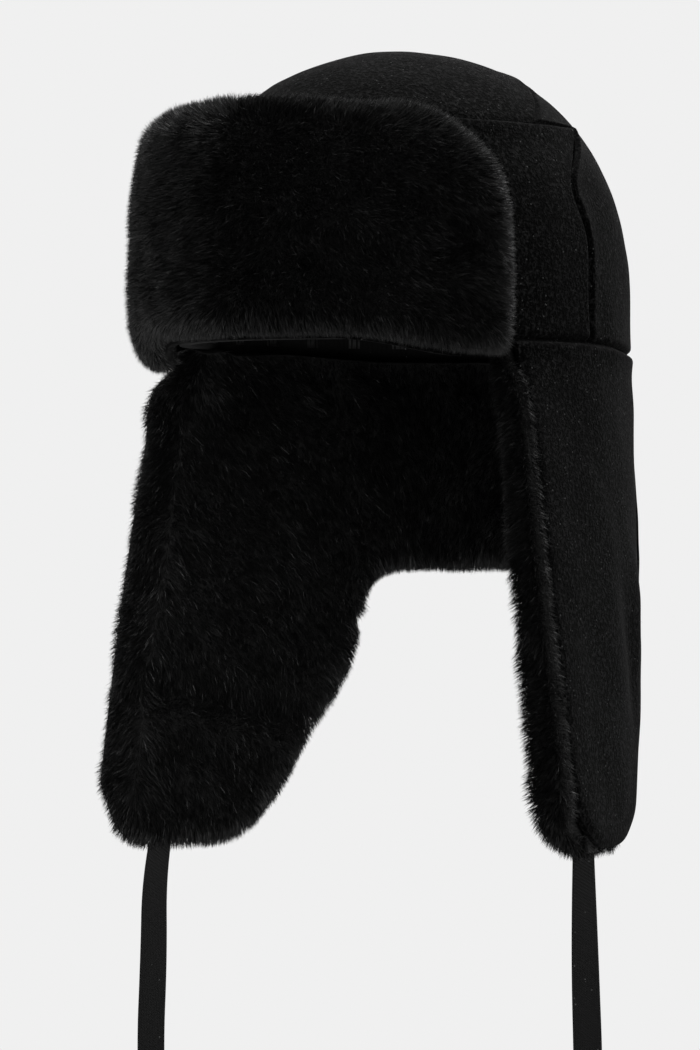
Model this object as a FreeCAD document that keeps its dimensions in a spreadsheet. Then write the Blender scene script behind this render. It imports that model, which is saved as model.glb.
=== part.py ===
"""Trapper hat: wool crown, turned-up fur brim, two fur-faced ear flaps, a neck flap and two ties.

Millimetres, +Z up.  The front of the hat faces -Y and +X is the wearer's left.  The origin is the
centre of the head opening, where the crown's lower seam crosses the hat's middle.
"""
import FreeCAD, Part
import math
import os
import Sketcher

from FreeCAD import Placement, Rotation, Vector

doc = FreeCAD.newDocument("TrapperHat")

# ------------------------------------------------------------------ driving dimensions
SIZES = {
    # crown: a superellipse dome over an oval head
    "crown_half_width": 92,
    "crown_half_length": 110,
    "crown_height": 127,
    "crown_fullness": 2.9,
    # layers of cloth, from outside in
    "wool_thickness": 2.4,
    "wadding_thickness": 2.6,
    "lining_thickness": 1.2,
    "sweatband_thickness": 1.2,
    "sweatband_height": 32,
    "layer_gap": 0.3,
    # crown panels
    "dome_rise": 29,
    "side_panel_front": 56,
    "back_seam": 20,
    "dome_seam_start": 3,
    "dome_seam_slope": 0.62,
    # front brim, turned up
    "brim_gap": 0.8,
    "interlining_thickness": 1.5,
    "brim_fur_thickness": 13.5,
    "brim_top": 97,
    "brim_bottom": 4,
    "brim_end_drop": 7,
    "brim_drop_start": 95,
    "brim_end": 62,
    "brim_corner_radius": 48,
    "brim_margin": 8,
    "brim_fur_overhang": 4,
    "tack_clearance": 0.15,
    "tack_height": 38,
    "tack_length": 9,
    "tack_width": 2,
    # ear and neck flaps: a skirt that widens from the crown's seam and shifts forwards
    "skirt_depth": 240,
    "skirt_flare_x": 41,
    "skirt_flare_y": 108,
    "skirt_shift": 100,
    "flap_seam_gap": 0.3,
    "flap_wadding_thickness": 1.8,
    "flap_fur_thickness": 14,
    "flap_length": 215,
    "flap_front_top": 36,
    "flap_front_bend": 48,
    "flap_front_bend_depth": 112,
    "flap_front_low": 46,
    "flap_rear": 62,
    "flap_rear_drop": 133,
    "flap_tip_rear": 18,
    "flap_front_radius": 31,
    "flap_tip_radius": 38,
    "flap_rear_radius": 60,
    "flap_fur_overhang": 9,
    "flap_fur_drop": 5,
    "flap_fur_notch": 18,
    "flap_fur_slope": 102,
    "neck_flap_length": 92,
    "wadding_margin": 14,
    "wadding_radius": 18,
    # ties
    "tie_width": 12,
    "tie_thickness": 1.5,
    "tie_place": 27,
    "tab_length": 12,
    "tab_reach": 2,
    "tie_lap": 4,
    "tie_root_gap": 1.7,
    "tie_end_length": 9,
    "tie_end_thickness": 3,
    "pile_parting": 1.5,
    "pile_parting_height": 42,
}

sheet = doc.addObject("Spreadsheet::Sheet", "Sizes")
for row, (name, value) in enumerate(SIZES.items(), start=1):
    sheet.set(f"A{row}", name)
    sheet.set(f"B{row}", str(value))
    sheet.setAlias(f"B{row}", name)
doc.recompute()


def size(name):
    """The sheet's value of one driving dimension."""
    return float(getattr(sheet, name))


def bind(item, **expressions):
    """Bind properties of an object to expressions over the sheet."""
    for prop, expression in expressions.items():
        item.setExpression(prop, expression)
    return item


# ------------------------------------------------------------------ shared shapes
FAR = 400


def oval(name, half_x, half_y, height, centre_y="0"):
    """A level ellipse at one height, turned so that its long axis is its longer half."""
    ring = doc.addObject("Part::Ellipse", name)
    ring.MajorRadius = FAR
    ring.MinorRadius = 1
    ring.Placement = Placement(Vector(0, 0, 0), Rotation(Vector(0, 0, 1), 90))
    bind(ring, MajorRadius=f"max({half_x}; {half_y})", MinorRadius=f"min({half_x}; {half_y})",
         Angle1=f"{half_y} >= {half_x} ? 0 : 90", Angle2=f"{half_y} >= {half_x} ? 360 : 450")
    bind(ring, **{".Placement.Base.z": height, ".Placement.Base.y": centre_y,
                  ".Placement.Rotation.Angle": f"{half_y} >= {half_x} ? 90 : 0"})
    return ring


def loft(name, rings, ruled=False):
    """A solid through level ellipses."""
    body = doc.addObject("Part::Loft", name)
    body.Sections = rings
    body.Solid = True
    body.Ruled = ruled
    return body


DOME_ANGLES = (0, 10, 22, 34, 46, 58, 69, 79, 86)


def dome(name, offset):
    """The crown's outside moved out by an offset: half axes shrink as cos a, height as sin a
    to the power 2 / fullness, so the outline is a superellipse."""
    rings = []
    for angle in DOME_ANGLES:
        rings.append(oval(
            f"{name}_{angle}",
            f"(Sizes.crown_half_width + ({offset})) * cos({angle})",
            f"(Sizes.crown_half_length + ({offset})) * cos({angle})",
            f"(Sizes.crown_height + ({offset})) * pow(sin({angle}); 2 / Sizes.crown_fullness)",
        ))
    return loft(name, rings)


def upright(name, offset, low, high):
    """An upright oval column, as wide as the crown's seam plus an offset."""
    half_x = f"Sizes.crown_half_width + ({offset})"
    half_y = f"Sizes.crown_half_length + ({offset})"
    return loft(name, [oval(f"{name}_low", half_x, half_y, low),
                       oval(f"{name}_high", half_x, half_y, high)], ruled=True)


def skirt(name, offset):
    """The cone that the flaps lie on, moved out by an offset."""
    top = oval(f"{name}_top",
               f"Sizes.crown_half_width + ({offset})",
               f"Sizes.crown_half_length + ({offset})",
               "-Sizes.flap_seam_gap")
    low = oval(f"{name}_low",
               f"Sizes.crown_half_width + Sizes.skirt_flare_x + ({offset})",
               f"Sizes.crown_half_length + Sizes.skirt_flare_y + ({offset})",
               "-Sizes.skirt_depth",
               "-Sizes.skirt_shift")
    return loft(name, [low, top], ruled=True)


def cut(name, base, tool):
    """Base less tool."""
    item = doc.addObject("Part::Cut", name)
    item.Base = base
    item.Tool = tool
    return item


def common(name, base, tool):
    """What base and tool share."""
    item = doc.addObject("Part::Common", name)
    item.Base = base
    item.Tool = tool
    return item


def block(name, x_low, x_high, y_low, y_high, z_low, z_high):
    """A box between six planes, each an expression over the sheet."""
    box = doc.addObject("Part::Box", name)
    bind(box, Length=f"({x_high}) - ({x_low})", Width=f"({y_high}) - ({y_low})",
         Height=f"({z_high}) - ({z_low})")
    bind(box, **{".Placement.Base.x": x_low, ".Placement.Base.y": y_low,
                 ".Placement.Base.z": z_low})
    return box


SIDE_VIEW = Rotation(Vector(1, 1, 1), 120)


def side_outline(name, corners, x_low=-FAR, x_high=FAR):
    """A side-view polygon, drawn in a sketch on the YZ plane, pushed out along X.

    Each corner is (y expression, z expression, radius): the sketch binds y and z, and a corner
    with a radius is rounded on the solid."""
    sketch = doc.addObject("Sketcher::SketchObject", f"{name}_sketch")
    sketch.Placement = Placement(Vector(0, 0, 0), SIDE_VIEW)
    count = len(corners)
    turn = [2 * math.pi * index / count for index in range(count)]
    start = [Vector(-math.cos(angle), -math.sin(angle), 0) * FAR for angle in turn]
    for index in range(count):
        sketch.addGeometry(Part.LineSegment(start[index], start[(index + 1) % count]), False)
    for index in range(count):
        sketch.addConstraint(
            Sketcher.Constraint("Coincident", index, 2, (index + 1) % count, 1))
    for index, (y_place, z_place, _) in enumerate(corners):
        for kind, value, place in (("DistanceX", start[index].x, y_place),
                                   ("DistanceY", start[index].y, z_place)):
            number = sketch.addConstraint(Sketcher.Constraint(kind, -1, 1, index, 1, value))
            sketch.setExpression(f"Constraints[{number}]", place)
    prism = doc.addObject("Part::Extrusion", f"{name}_prism")
    prism.Base = sketch
    prism.DirMode = "Normal"
    prism.Solid = True
    prism.LengthFwd = x_high
    prism.LengthRev = -x_low
    doc.recompute()
    rounded = []
    for y_place, z_place, radius in corners:
        if radius:
            rounded.append((sketch.evalExpression(y_place), sketch.evalExpression(z_place), size(radius)))
    if not rounded:
        return prism
    edges = []
    for number, edge in enumerate(prism.Shape.Edges, start=1):
        near, far = edge.Vertexes[0].Point, edge.Vertexes[-1].Point
        for y_corner, z_corner, radius in rounded:
            same = all(math.hypot(p.y - y_corner, p.z - z_corner) < 1e-6 for p in (near, far))
            if same:
                edges.append((number, radius, radius))
    fillet = doc.addObject("Part::Fillet", f"{name}_rounded")
    fillet.Base = prism
    fillet.Edges = edges
    return fillet


# ------------------------------------------------------------------ faces of the layers
CROWN_WOOL = ("0", "-Sizes.wool_thickness")


def next_layer(above, thickness):
    """Outer and inner offset of the layer inside another, one gap further in."""
    outer = f"{above[1]} - Sizes.layer_gap"
    return (outer, f"{outer} - Sizes.{thickness}")


CROWN_WADDING = next_layer(CROWN_WOOL, "wadding_thickness")
CROWN_LINING = next_layer(CROWN_WADDING, "lining_thickness")
SWEATBAND = next_layer(CROWN_LINING, "sweatband_thickness")
FLAP_WADDING = next_layer(CROWN_WOOL, "flap_wadding_thickness")
FLAP_FUR = next_layer(FLAP_WADDING, "flap_fur_thickness")

BRIM_WOOL = ("Sizes.brim_gap + Sizes.wool_thickness", "Sizes.brim_gap")
INTERLINING_INSIDE = f"{BRIM_WOOL[0]} + Sizes.layer_gap"
BRIM_INTERLINING = (f"{INTERLINING_INSIDE} + Sizes.interlining_thickness", INTERLINING_INSIDE)
BRIM_FUR_INSIDE = f"{BRIM_INTERLINING[0]} + Sizes.layer_gap"
BRIM_FUR = (f"{BRIM_FUR_INSIDE} + Sizes.brim_fur_thickness", BRIM_FUR_INSIDE)

SIDE_PANEL_TOP = "Sizes.crown_height - Sizes.dome_rise"

SIDES = {"left": 1, "right": -1}
MIDDLE = 0
BELOW = -60
parts = {}


def keep(name, item):
    """Name a finished sub-part and put it on the list to write."""
    item.Label = name
    parts[name] = item
    return item


def half(name, side, y_low, y_high, z_low, z_high):
    """A block on the wearer's left or right of the hat's middle."""
    low, high = (f"{MIDDLE}", f"{FAR}") if SIDES[side] > 0 else (f"-{FAR}", f"{MIDDLE}")
    return block(name, low, high, y_low, y_high, z_low, z_high)


# ------------------------------------------------------------------ crown
def crown_layer(name, faces):
    """A dome shell between two offsets from the crown's outside."""
    return cut(name, dome(f"{name}_out", faces[0]), dome(f"{name}_in", faces[1]))


def crown_panels():
    """Wool outside: a top panel from the brow to the dome seam, two side panels, a back panel."""
    wool = crown_layer("crown_wool", CROWN_WOOL)
    back = side_outline("back_area", [
        ("Sizes.back_seam", f"{BELOW}", None),
        ("Sizes.back_seam", SIDE_PANEL_TOP, None),
        ("Sizes.dome_seam_start", SIDE_PANEL_TOP, None),
        ("Sizes.dome_seam_start + 120",
         f"{SIDE_PANEL_TOP} + 120 * Sizes.dome_seam_slope", None),
        (f"{FAR}", f"{SIDE_PANEL_TOP} + 120 * Sizes.dome_seam_slope", None),
        (f"{FAR}", f"{BELOW}", None),
    ])
    keep("back_panel", common("back_panel_wool", wool, back))
    rest = cut("crown_wool_front", wool, back)
    for side in SIDES:
        area = half(f"side_area_{side}", side, "-Sizes.side_panel_front", "Sizes.back_seam",
                    f"{BELOW}", SIDE_PANEL_TOP)
        keep(f"side_panel_{side}", common(f"side_panel_{side}_wool", wool, area))
        rest = cut(f"crown_wool_less_{side}", rest, area)
    keep("top_panel", rest)


def crown_insides():
    """Wadding, quilted lining and the band that touches the head."""
    keep("crown_wadding", crown_layer("wadding_shell", CROWN_WADDING))
    keep("crown_lining", crown_layer("lining_shell", CROWN_LINING))
    band = block("sweatband_area", f"-{FAR}", f"{FAR}", f"-{FAR}", f"{FAR}", f"{BELOW}",
                 "Sizes.sweatband_height")
    keep("sweatband", common("sweatband_ring", crown_layer("sweatband_shell", SWEATBAND), band))


# ------------------------------------------------------------------ brim
BRIM_LOW = "-60"
BRIM_HIGH = "Sizes.crown_height"


def brim_layer(name, faces):
    """An oval ring, upright, that the brim's pieces are cut from."""
    outer = upright(f"{name}_out", faces[0], BRIM_LOW, BRIM_HIGH)
    inner = upright(f"{name}_in", faces[1], BRIM_LOW, BRIM_HIGH)
    return cut(name, outer, inner)


def brim_outline(name, grow, end_grow, radius):
    """The brim seen from the side: round upper corners, and a lower edge that falls at the ends."""
    return side_outline(name, [
        (f"-Sizes.brim_end + {end_grow}",
         f"-Sizes.brim_bottom - Sizes.brim_end_drop - {grow}", None),
        (f"-Sizes.brim_end + {end_grow}", f"Sizes.brim_top + {grow}", radius),
        (f"-{FAR}", f"Sizes.brim_top + {grow}", None),
        (f"-{FAR}", f"-Sizes.brim_bottom - {grow}", None),
        ("-Sizes.brim_drop_start", f"-Sizes.brim_bottom - {grow}", None),
    ])


def brim():
    """Wool back face, stiff interlining, fur in two halves and the two tacks that hold it up."""
    cloth = brim_outline("brim_cloth_area", "0", "0", "brim_corner_radius")
    inset = brim_outline("brim_inset_area", "-Sizes.brim_margin", "-Sizes.brim_margin",
                         "brim_corner_radius")
    pile = brim_outline("brim_pile_area", "Sizes.brim_fur_overhang", "2 * Sizes.brim_fur_overhang",
                        "brim_corner_radius")
    keep("brim_backing", common("brim_backing_wool", brim_layer("brim_wool_ring", BRIM_WOOL), cloth))
    keep("brim_interlining",
         common("brim_stiffener", brim_layer("brim_inter_ring", BRIM_INTERLINING), inset))
    fur = common("brim_fur_all", brim_layer("brim_fur_ring", BRIM_FUR), pile)
    space = cut("tack_space",
                upright("tack_out", "Sizes.brim_gap - Sizes.tack_clearance", BRIM_LOW, BRIM_HIGH),
                dome("tack_in", "Sizes.tack_clearance"))
    for side in SIDES:
        all_heights = half(f"brim_area_{side}", side, f"-{FAR}", f"{FAR}", BRIM_LOW, f"{FAR}")
        keep(f"brim_fur_{side}", common(f"brim_fur_half_{side}", fur, all_heights))
        tack_front = "-Sizes.brim_end - Sizes.brim_margin"
        spot = half(f"tack_area_{side}", side, tack_front, f"{tack_front} + Sizes.tack_width",
                    "Sizes.tack_height - Sizes.tack_length / 2",
                    "Sizes.tack_height + Sizes.tack_length / 2")
        keep(f"brim_tack_{side}", common(f"brim_tack_bar_{side}", space, spot))


# ------------------------------------------------------------------ flaps
def skirt_layer(name, faces):
    """A shell of the cone that the flaps lie on."""
    return cut(name, skirt(f"{name}_out", faces[0]), skirt(f"{name}_in", faces[1]))


ABOVE = "10"


def ear_outlines(side):
    """The ear flap's wool, wadding and fur seen from the side."""
    x_low, x_high = (1, FAR) if SIDES[side] > 0 else (-FAR, -1)
    wool = side_outline(f"ear_wool_area_{side}", [
        ("-Sizes.flap_front_top", ABOVE, None),
        ("-Sizes.flap_front_bend", "-Sizes.flap_front_bend_depth", None),
        ("-Sizes.flap_front_low", "-Sizes.flap_length", "flap_front_radius"),
        ("Sizes.flap_tip_rear", "-Sizes.flap_length", "flap_tip_radius"),
        ("Sizes.flap_rear", "-Sizes.flap_rear_drop", "flap_rear_radius"),
        ("Sizes.flap_rear", ABOVE, None),
    ], x_low, x_high)
    inset = "Sizes.wadding_margin"
    wadding = side_outline(f"ear_wadding_area_{side}", [
        (f"-Sizes.flap_front_top + {inset}", ABOVE, None),
        (f"-Sizes.flap_front_low + {inset}", f"-Sizes.flap_length + {inset}", "wadding_radius"),
        (f"Sizes.flap_tip_rear - {inset} / 2", f"-Sizes.flap_length + {inset}", "wadding_radius"),
        ("Sizes.flap_rear", f"-Sizes.flap_rear_drop + {inset}", "wadding_radius"),
        ("Sizes.flap_rear", ABOVE, None),
    ], x_low, x_high)
    front = "-Sizes.flap_front_low - Sizes.flap_fur_overhang"
    bottom = "-Sizes.flap_length - Sizes.flap_fur_drop"
    fur = side_outline(f"ear_fur_area_{side}", [
        ("-Sizes.flap_front_top", ABOVE, None),
        ("-Sizes.flap_front_top", "-Sizes.flap_fur_notch", None),
        (front, "-Sizes.flap_fur_notch - Sizes.flap_fur_slope", None),
        (front, bottom, "flap_front_radius"),
        ("Sizes.flap_tip_rear", bottom, "flap_tip_radius"),
        ("Sizes.flap_rear", "-Sizes.flap_rear_drop", "flap_rear_radius"),
        ("Sizes.flap_rear", ABOVE, None),
    ], x_low, x_high)
    return wool, wadding, fur


def ear_flap(side, wool, wadding, fur):
    """One ear flap: wool outside, wadding, fur inside, and the tab that its tie is sewn to."""
    wool_area, wadding_area, fur_area = ear_outlines(side)
    keep(f"ear_flap_wool_{side}", common(f"ear_wool_{side}", wool, wool_area))
    keep(f"ear_flap_wadding_{side}", common(f"ear_wadding_{side}", wadding, wadding_area))
    tape = "Sizes.tie_width / 2"
    tab_low = "-Sizes.flap_length - Sizes.tab_reach"
    tab_area = half(f"tab_area_{side}", side, f"-Sizes.tie_place - {tape}",
                    f"-Sizes.tie_place + {tape}", tab_low, f"{tab_low} + Sizes.tab_length")
    keep(f"tie_tab_{side}", common(f"tab_{side}", wadding, tab_area))
    parted = f"{tape} + Sizes.pile_parting"
    parting = half(f"parting_area_{side}", side, f"-Sizes.tie_place - ({parted})",
                   f"-Sizes.tie_place + {parted}", f"-{FAR}",
                   "-Sizes.flap_length + Sizes.pile_parting_height")
    pile = common(f"ear_pile_{side}", fur, fur_area)
    keep(f"ear_flap_fur_{side}", cut(f"ear_fur_{side}", pile, parting))


def neck_flap(wool, wadding, fur):
    """The flap behind the neck, between the two ear flaps."""
    start = "Sizes.flap_rear + Sizes.layer_gap"
    for name, layer, grow in (("neck_flap_wool", wool, "0"),
                              ("neck_flap_wadding", wadding, "-Sizes.wadding_margin"),
                              ("neck_flap_fur", fur, "Sizes.flap_fur_drop")):
        area = block(f"{name}_area", f"-{FAR}", f"{FAR}", start, f"{FAR}",
                     f"-Sizes.neck_flap_length - {grow}", ABOVE)
        keep(name, common(f"{name}_piece", layer, area))


def flaps():
    """Both ear flaps and the neck flap, from the same three shells."""
    wool = skirt_layer("flap_wool_shell", CROWN_WOOL)
    wadding = skirt_layer("flap_wadding_shell", FLAP_WADDING)
    fur = skirt_layer("flap_fur_shell", FLAP_FUR)
    for side in SIDES:
        ear_flap(side, wool, wadding, fur)
    neck_flap(wool, wadding, fur)


# ------------------------------------------------------------------ ties
# Where a tie runs below its tab: (outwards, down) from its root.
TIE_ROUTE = [(0, 0), (0.6, 42), (2.8, 96), (2.4, 156), (-0.4, 212), (-2.2, 258)]


def skirt_x(face, y, depth):
    """Distance from the hat's middle to a face of a flap layer, at a place on the flap."""
    share = (depth - size("flap_seam_gap")) / (size("skirt_depth") - size("flap_seam_gap"))
    offset = sheet.evalExpression(face)
    half_x = size("crown_half_width") + offset + size("skirt_flare_x") * share
    half_y = size("crown_half_length") + offset + size("skirt_flare_y") * share
    along = (y + size("skirt_shift") * share) / half_y
    return half_x * math.sqrt(1 - along ** 2)


def tape_solid(route, thickness, width):
    """A flat strip: straight runs joined by tangent arcs in the XZ plane, as wide as the tape.

    Each arc's radius is 0.45 of its shorter run over the tangent of half the turn."""
    runs = [route[index + 1] - route[index] for index in range(len(route) - 1)]
    edges = {1: [], -1: []}
    length = 0
    radii = []
    across = [Vector(run.z, 0, -run.x).normalize() for run in runs]
    begin = route[0]
    for index, run in enumerate(runs):
        ahead = Vector(run).normalize()
        if index + 1 < len(runs):
            turn = run.getAngle(runs[index + 1])
            reach = 0.45 * min(run.Length, runs[index + 1].Length)
            radius = reach / math.tan(turn / 2)
            end = route[index + 1] - ahead * reach
            after = route[index + 1] + Vector(runs[index + 1]).normalize() * reach
            bend = 1 if across[index].dot(runs[index + 1]) > 0 else -1
            centre = end + across[index] * bend * radius
            middle_way = (route[index + 1] - centre).normalize()
        else:
            end = route[-1]
        for sign in edges:
            shift = across[index] * sign * thickness / 2
            edges[sign].append(Part.LineSegment(begin + shift, end + shift).toShape())
        length += (end - begin).Length
        if index + 1 < len(runs):
            for sign in edges:
                reach_out = radius - sign * bend * thickness / 2
                shift = sign * thickness / 2
                edges[sign].append(Part.Arc(end + across[index] * shift,
                                            centre + middle_way * reach_out,
                                            after + across[index + 1] * shift).toShape())
            length += radius * turn
            radii.append(radius)
            begin = after
    caps = []
    for place, direction in ((route[0], across[0]), (route[-1], across[-1])):
        reach = direction * thickness / 2
        caps.append(Part.LineSegment(place - reach, place + reach).toShape())
    wire = Part.Wire(Part.__sortEdges__(edges[1] + edges[-1] + caps))
    strip = Part.Face(wire).extrude(Vector(0, width, 0))
    strip.translate(Vector(0, -width / 2, 0))
    return strip, length, radii


def tie(side):
    """One flat tie, lapped on the fur side of its tab, with a turned hem at its end."""
    sign = SIDES[side]
    root_depth = size("flap_length") + size("tab_reach") - size("tie_lap")
    tab_face = skirt_x(FLAP_WADDING[1], -size("tie_place"), root_depth)
    root_x = tab_face - size("tie_root_gap") - size("tie_thickness") / 2
    route = [Vector(sign * (root_x + out), -size("tie_place"), -root_depth - down)
             for out, down in TIE_ROUTE]
    strip, length, radii = tape_solid(route, size("tie_thickness"), size("tie_width"))
    item = doc.addObject("Part::Feature", f"tape_{side}")
    item.Shape = strip
    keep(f"tie_{side}", item)
    section = size("tie_thickness") * size("tie_width")
    print(f"tie_{side}: root {route[0].x:.1f} {route[0].y:.1f} {route[0].z:.1f}, "
          f"length {length:.1f}, volume {strip.Volume:.1f} against {section * length:.1f}, "
          f"radii {', '.join(f'{radius:.0f}' for radius in radii)}")
    hem = doc.addObject("Part::Box", f"tie_hem_{side}")
    bind(hem, Length="Sizes.tie_end_thickness", Width="Sizes.tie_width", Height="Sizes.tie_end_length")
    last = route[-1] - route[-2]
    lean = Rotation(Vector(0, 0, -1), last)
    corner = Vector(-size("tie_end_thickness") / 2, -size("tie_width") / 2, -size("tie_end_length"))
    hem.Placement = Placement(route[-1] + lean.multVec(corner), lean)
    keep(f"tie_end_{side}", hem)


crown_panels()
crown_insides()
brim()
flaps()
for side in SIDES:
    tie(side)
doc.recompute()

# ------------------------------------------------------------------ checks and files
for item in doc.Objects:
    if "Invalid" in item.State or "Error" in item.State:
        raise RuntimeError(f"{item.Label} failed: {item.State}")
for name, item in parts.items():
    if item.Shape.isNull() or not item.Shape.isValid() or not item.Shape.Solids:
        raise RuntimeError(f"{name} has no valid solid")

os.makedirs("parts", exist_ok=True)
for name, item in parts.items():
    item.Shape.exportStep(f"parts/{name}.step")
    corner = item.Shape.BoundBox
    print(f"{name}: {len(item.Shape.Solids)} solid, {item.Shape.Volume / 1000:.1f} cm3, "
          f"z {corner.ZMin:.0f} to {corner.ZMax:.0f}")
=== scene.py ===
# %% [markdown]
# # A trapper hat
# The hat is sewn from two cloths: thick felted wool outside, and a plush fur fabric that faces
# the front of the turned-up brim and the inside of the flaps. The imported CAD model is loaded
# first, and everything below is placed in its frame: metres, +X the wearer's left, the brow
# towards -Y, and z = 0 at the seam between the crown and the flaps.

import math

import bmesh
import bpy
import numpy as np
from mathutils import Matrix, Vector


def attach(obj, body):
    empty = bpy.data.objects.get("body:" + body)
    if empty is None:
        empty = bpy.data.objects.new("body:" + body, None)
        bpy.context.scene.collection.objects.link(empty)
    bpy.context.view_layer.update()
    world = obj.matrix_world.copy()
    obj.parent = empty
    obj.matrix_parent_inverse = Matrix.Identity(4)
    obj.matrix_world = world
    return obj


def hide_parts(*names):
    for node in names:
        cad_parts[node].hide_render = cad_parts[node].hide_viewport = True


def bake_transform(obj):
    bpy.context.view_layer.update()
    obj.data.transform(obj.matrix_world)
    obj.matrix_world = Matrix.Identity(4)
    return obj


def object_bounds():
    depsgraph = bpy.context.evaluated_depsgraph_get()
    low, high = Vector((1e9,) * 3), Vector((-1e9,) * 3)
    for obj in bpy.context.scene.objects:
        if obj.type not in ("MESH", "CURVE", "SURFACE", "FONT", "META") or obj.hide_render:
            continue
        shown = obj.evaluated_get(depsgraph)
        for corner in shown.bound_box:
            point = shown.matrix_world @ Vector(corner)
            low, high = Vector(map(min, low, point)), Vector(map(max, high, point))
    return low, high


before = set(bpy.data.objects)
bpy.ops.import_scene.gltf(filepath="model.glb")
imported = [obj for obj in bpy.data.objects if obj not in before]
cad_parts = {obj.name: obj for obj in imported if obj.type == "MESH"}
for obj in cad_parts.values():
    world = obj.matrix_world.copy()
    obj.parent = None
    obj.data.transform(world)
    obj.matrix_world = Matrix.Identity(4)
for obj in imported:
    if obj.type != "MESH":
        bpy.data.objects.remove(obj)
CAD_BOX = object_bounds()
print("CAD box", CAD_BOX)

MM = 0.001
SIDES = {"left": 1, "right": -1}

# %% [markdown]
# ## Camera
# The hat is seen from its left front corner, level with the cheeks, by a long lens two metres
# away. A long lens keeps the near flap from looking much larger than the far one. A small
# sideways shift, not a turn, sets the hat a little right of the middle.

# %% Camera
VIEW_TURN = math.radians(38)
VIEW_DISTANCE = 2.0
VIEW_HEIGHT = -78 * MM
VIEW_TALL = 456.5 * MM
FILM_TALL = 36.0
SIDE_SHIFT = -0.0514

camera_data = bpy.data.cameras.new("studio_camera")
camera_data.sensor_fit = "VERTICAL"
camera_data.sensor_height = FILM_TALL
camera_data.lens = FILM_TALL * VIEW_DISTANCE / VIEW_TALL
camera_data.shift_x = SIDE_SHIFT
camera_data.clip_end = 50
camera = bpy.data.objects.new("studio_camera", camera_data)
camera.location = (VIEW_DISTANCE * math.sin(VIEW_TURN), -VIEW_DISTANCE * math.cos(VIEW_TURN),
                   VIEW_HEIGHT)
camera.rotation_euler = (math.pi / 2, 0, VIEW_TURN)
bpy.context.scene.collection.objects.link(camera)
bpy.context.scene.camera = camera
bpy.context.scene.view_settings.view_transform = "Standard"
print(f"camera lens {camera_data.lens:.0f} mm")

# %% [markdown]
# ## Meshes from arrays
# Every new piece is a surface worked out with numpy: a grid of points from two parameters. The
# helpers here turn such arrays into a mesh, find a grid's normals, and choose where the rows of
# a grid lie, so that they are closest together where the cloth turns over at a seam.

# %% Mesh helpers
def grid_faces(rows, columns, start=0, wrap=False):
    """Four corners for each cell of a grid: this column and the next, on this row and the next."""
    row = np.arange(rows - 1)[:, None] * columns
    column = np.arange(columns if wrap else columns - 1)[None, :]
    after = (column + 1) % columns
    cells = (row + column, row + after, row + columns + after, row + columns + column)
    return np.stack(cells, axis=-1).reshape(-1, 4) + start


def new_mesh(name, points, faces, uv=None, tidy=False):
    """A mesh from points and a list of face arrays. tidy merges doubles and turns faces out."""
    mesh = bpy.data.meshes.new(name)
    corners = np.concatenate([part.ravel() for part in faces]).astype(np.int32)
    sizes = np.concatenate([np.full(len(part), part.shape[1]) for part in faces])
    starts = (np.cumsum(sizes) - sizes).astype(np.int32)
    mesh.vertices.add(len(points))
    mesh.vertices.foreach_set("co", np.asarray(points, np.float32).ravel())
    mesh.loops.add(len(corners))
    mesh.polygons.add(len(sizes))
    mesh.polygons.foreach_set("loop_start", starts)
    mesh.polygons.foreach_set("vertices", corners)
    if uv is not None:
        layer = mesh.uv_layers.new(name="Weave")
        layer.uv.foreach_set("vector", np.asarray(uv, np.float32)[corners].ravel())
    mesh.update(calc_edges=True)
    mesh.validate()
    if tidy:
        work = bmesh.new()
        work.from_mesh(mesh)
        bmesh.ops.remove_doubles(work, verts=work.verts, dist=1e-5)
        bmesh.ops.dissolve_degenerate(work, edges=work.edges, dist=1e-6)
        bmesh.ops.recalc_face_normals(work, faces=work.faces)
        work.to_mesh(mesh)
        work.free()
    mesh.polygons.foreach_set("use_smooth", np.ones(len(mesh.polygons), bool))
    return mesh


def new_piece(name, mesh, material, slot, *nodes):
    """An object at the origin that wears one material and stands for some CAD nodes."""
    piece = bpy.data.objects.new(name, mesh)
    bpy.context.scene.collection.objects.link(piece)
    mesh.materials.append(material)
    if nodes:
        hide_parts(*nodes)
    return piece


def unit(vectors):
    """Vectors divided by their lengths."""
    return vectors / np.maximum(np.linalg.norm(vectors, axis=-1, keepdims=True), 1e-12)


def grid_normals(grid):
    """At each grid point, the cross product of the steps along the columns and along the rows."""
    return unit(np.cross(np.gradient(grid, axis=1), np.gradient(grid, axis=0)))


def crowded_ends(count, power=1.6):
    """Numbers from 0 to 1 that are closer together near both ends."""
    even = np.linspace(-1, 1, count)
    return (np.sign(even) * (1 - (1 - np.abs(even)) ** power) + 1) / 2


def step(value, low, high):
    """0 below low, 1 above high, and a smooth S between."""
    share = np.clip((value - low) / (high - low), 0, 1)
    return share * share * (3 - 2 * share)


def bell(value, width):
    """1 at zero, and falls off on both sides: e to the power minus (value / width) squared."""
    return np.exp(-((value / width) ** 2))


def ripple(points, wavelength, seed):
    """Soft noise from -1 to 1: a sum of seven sine waves that run in directions drawn at random."""
    rng = np.random.default_rng(seed)
    waves = 7
    total = np.zeros(points.shape[:-1])
    for _ in range(waves):
        direction = unit(rng.normal(size=3)) * 2 * math.pi / (wavelength * rng.uniform(0.7, 1.5))
        total += np.sin(points @ direction + rng.uniform(0, 2 * math.pi))
    return total / waves * 1.8


print("mesh helpers ready")

# %% [markdown]
# ## Surface effects that several finishes share
# Wool, tape, satin and thread are all cloth, so three effects are built once as node groups:
# fibres (a matted, felted nap), threads (a woven over-and-under pattern that follows the
# cloth's own UV map, painted light on the thread tops and painted shade in the gaps) and lint
# (the pale specks and short hairs that black cloth collects).

# %% Node helpers
def put(tree, socket, value):
    """Wire a socket to another one, or give it a plain value."""
    if isinstance(value, bpy.types.NodeSocket):
        tree.links.new(value, socket)
    else:
        socket.default_value = value


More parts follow.
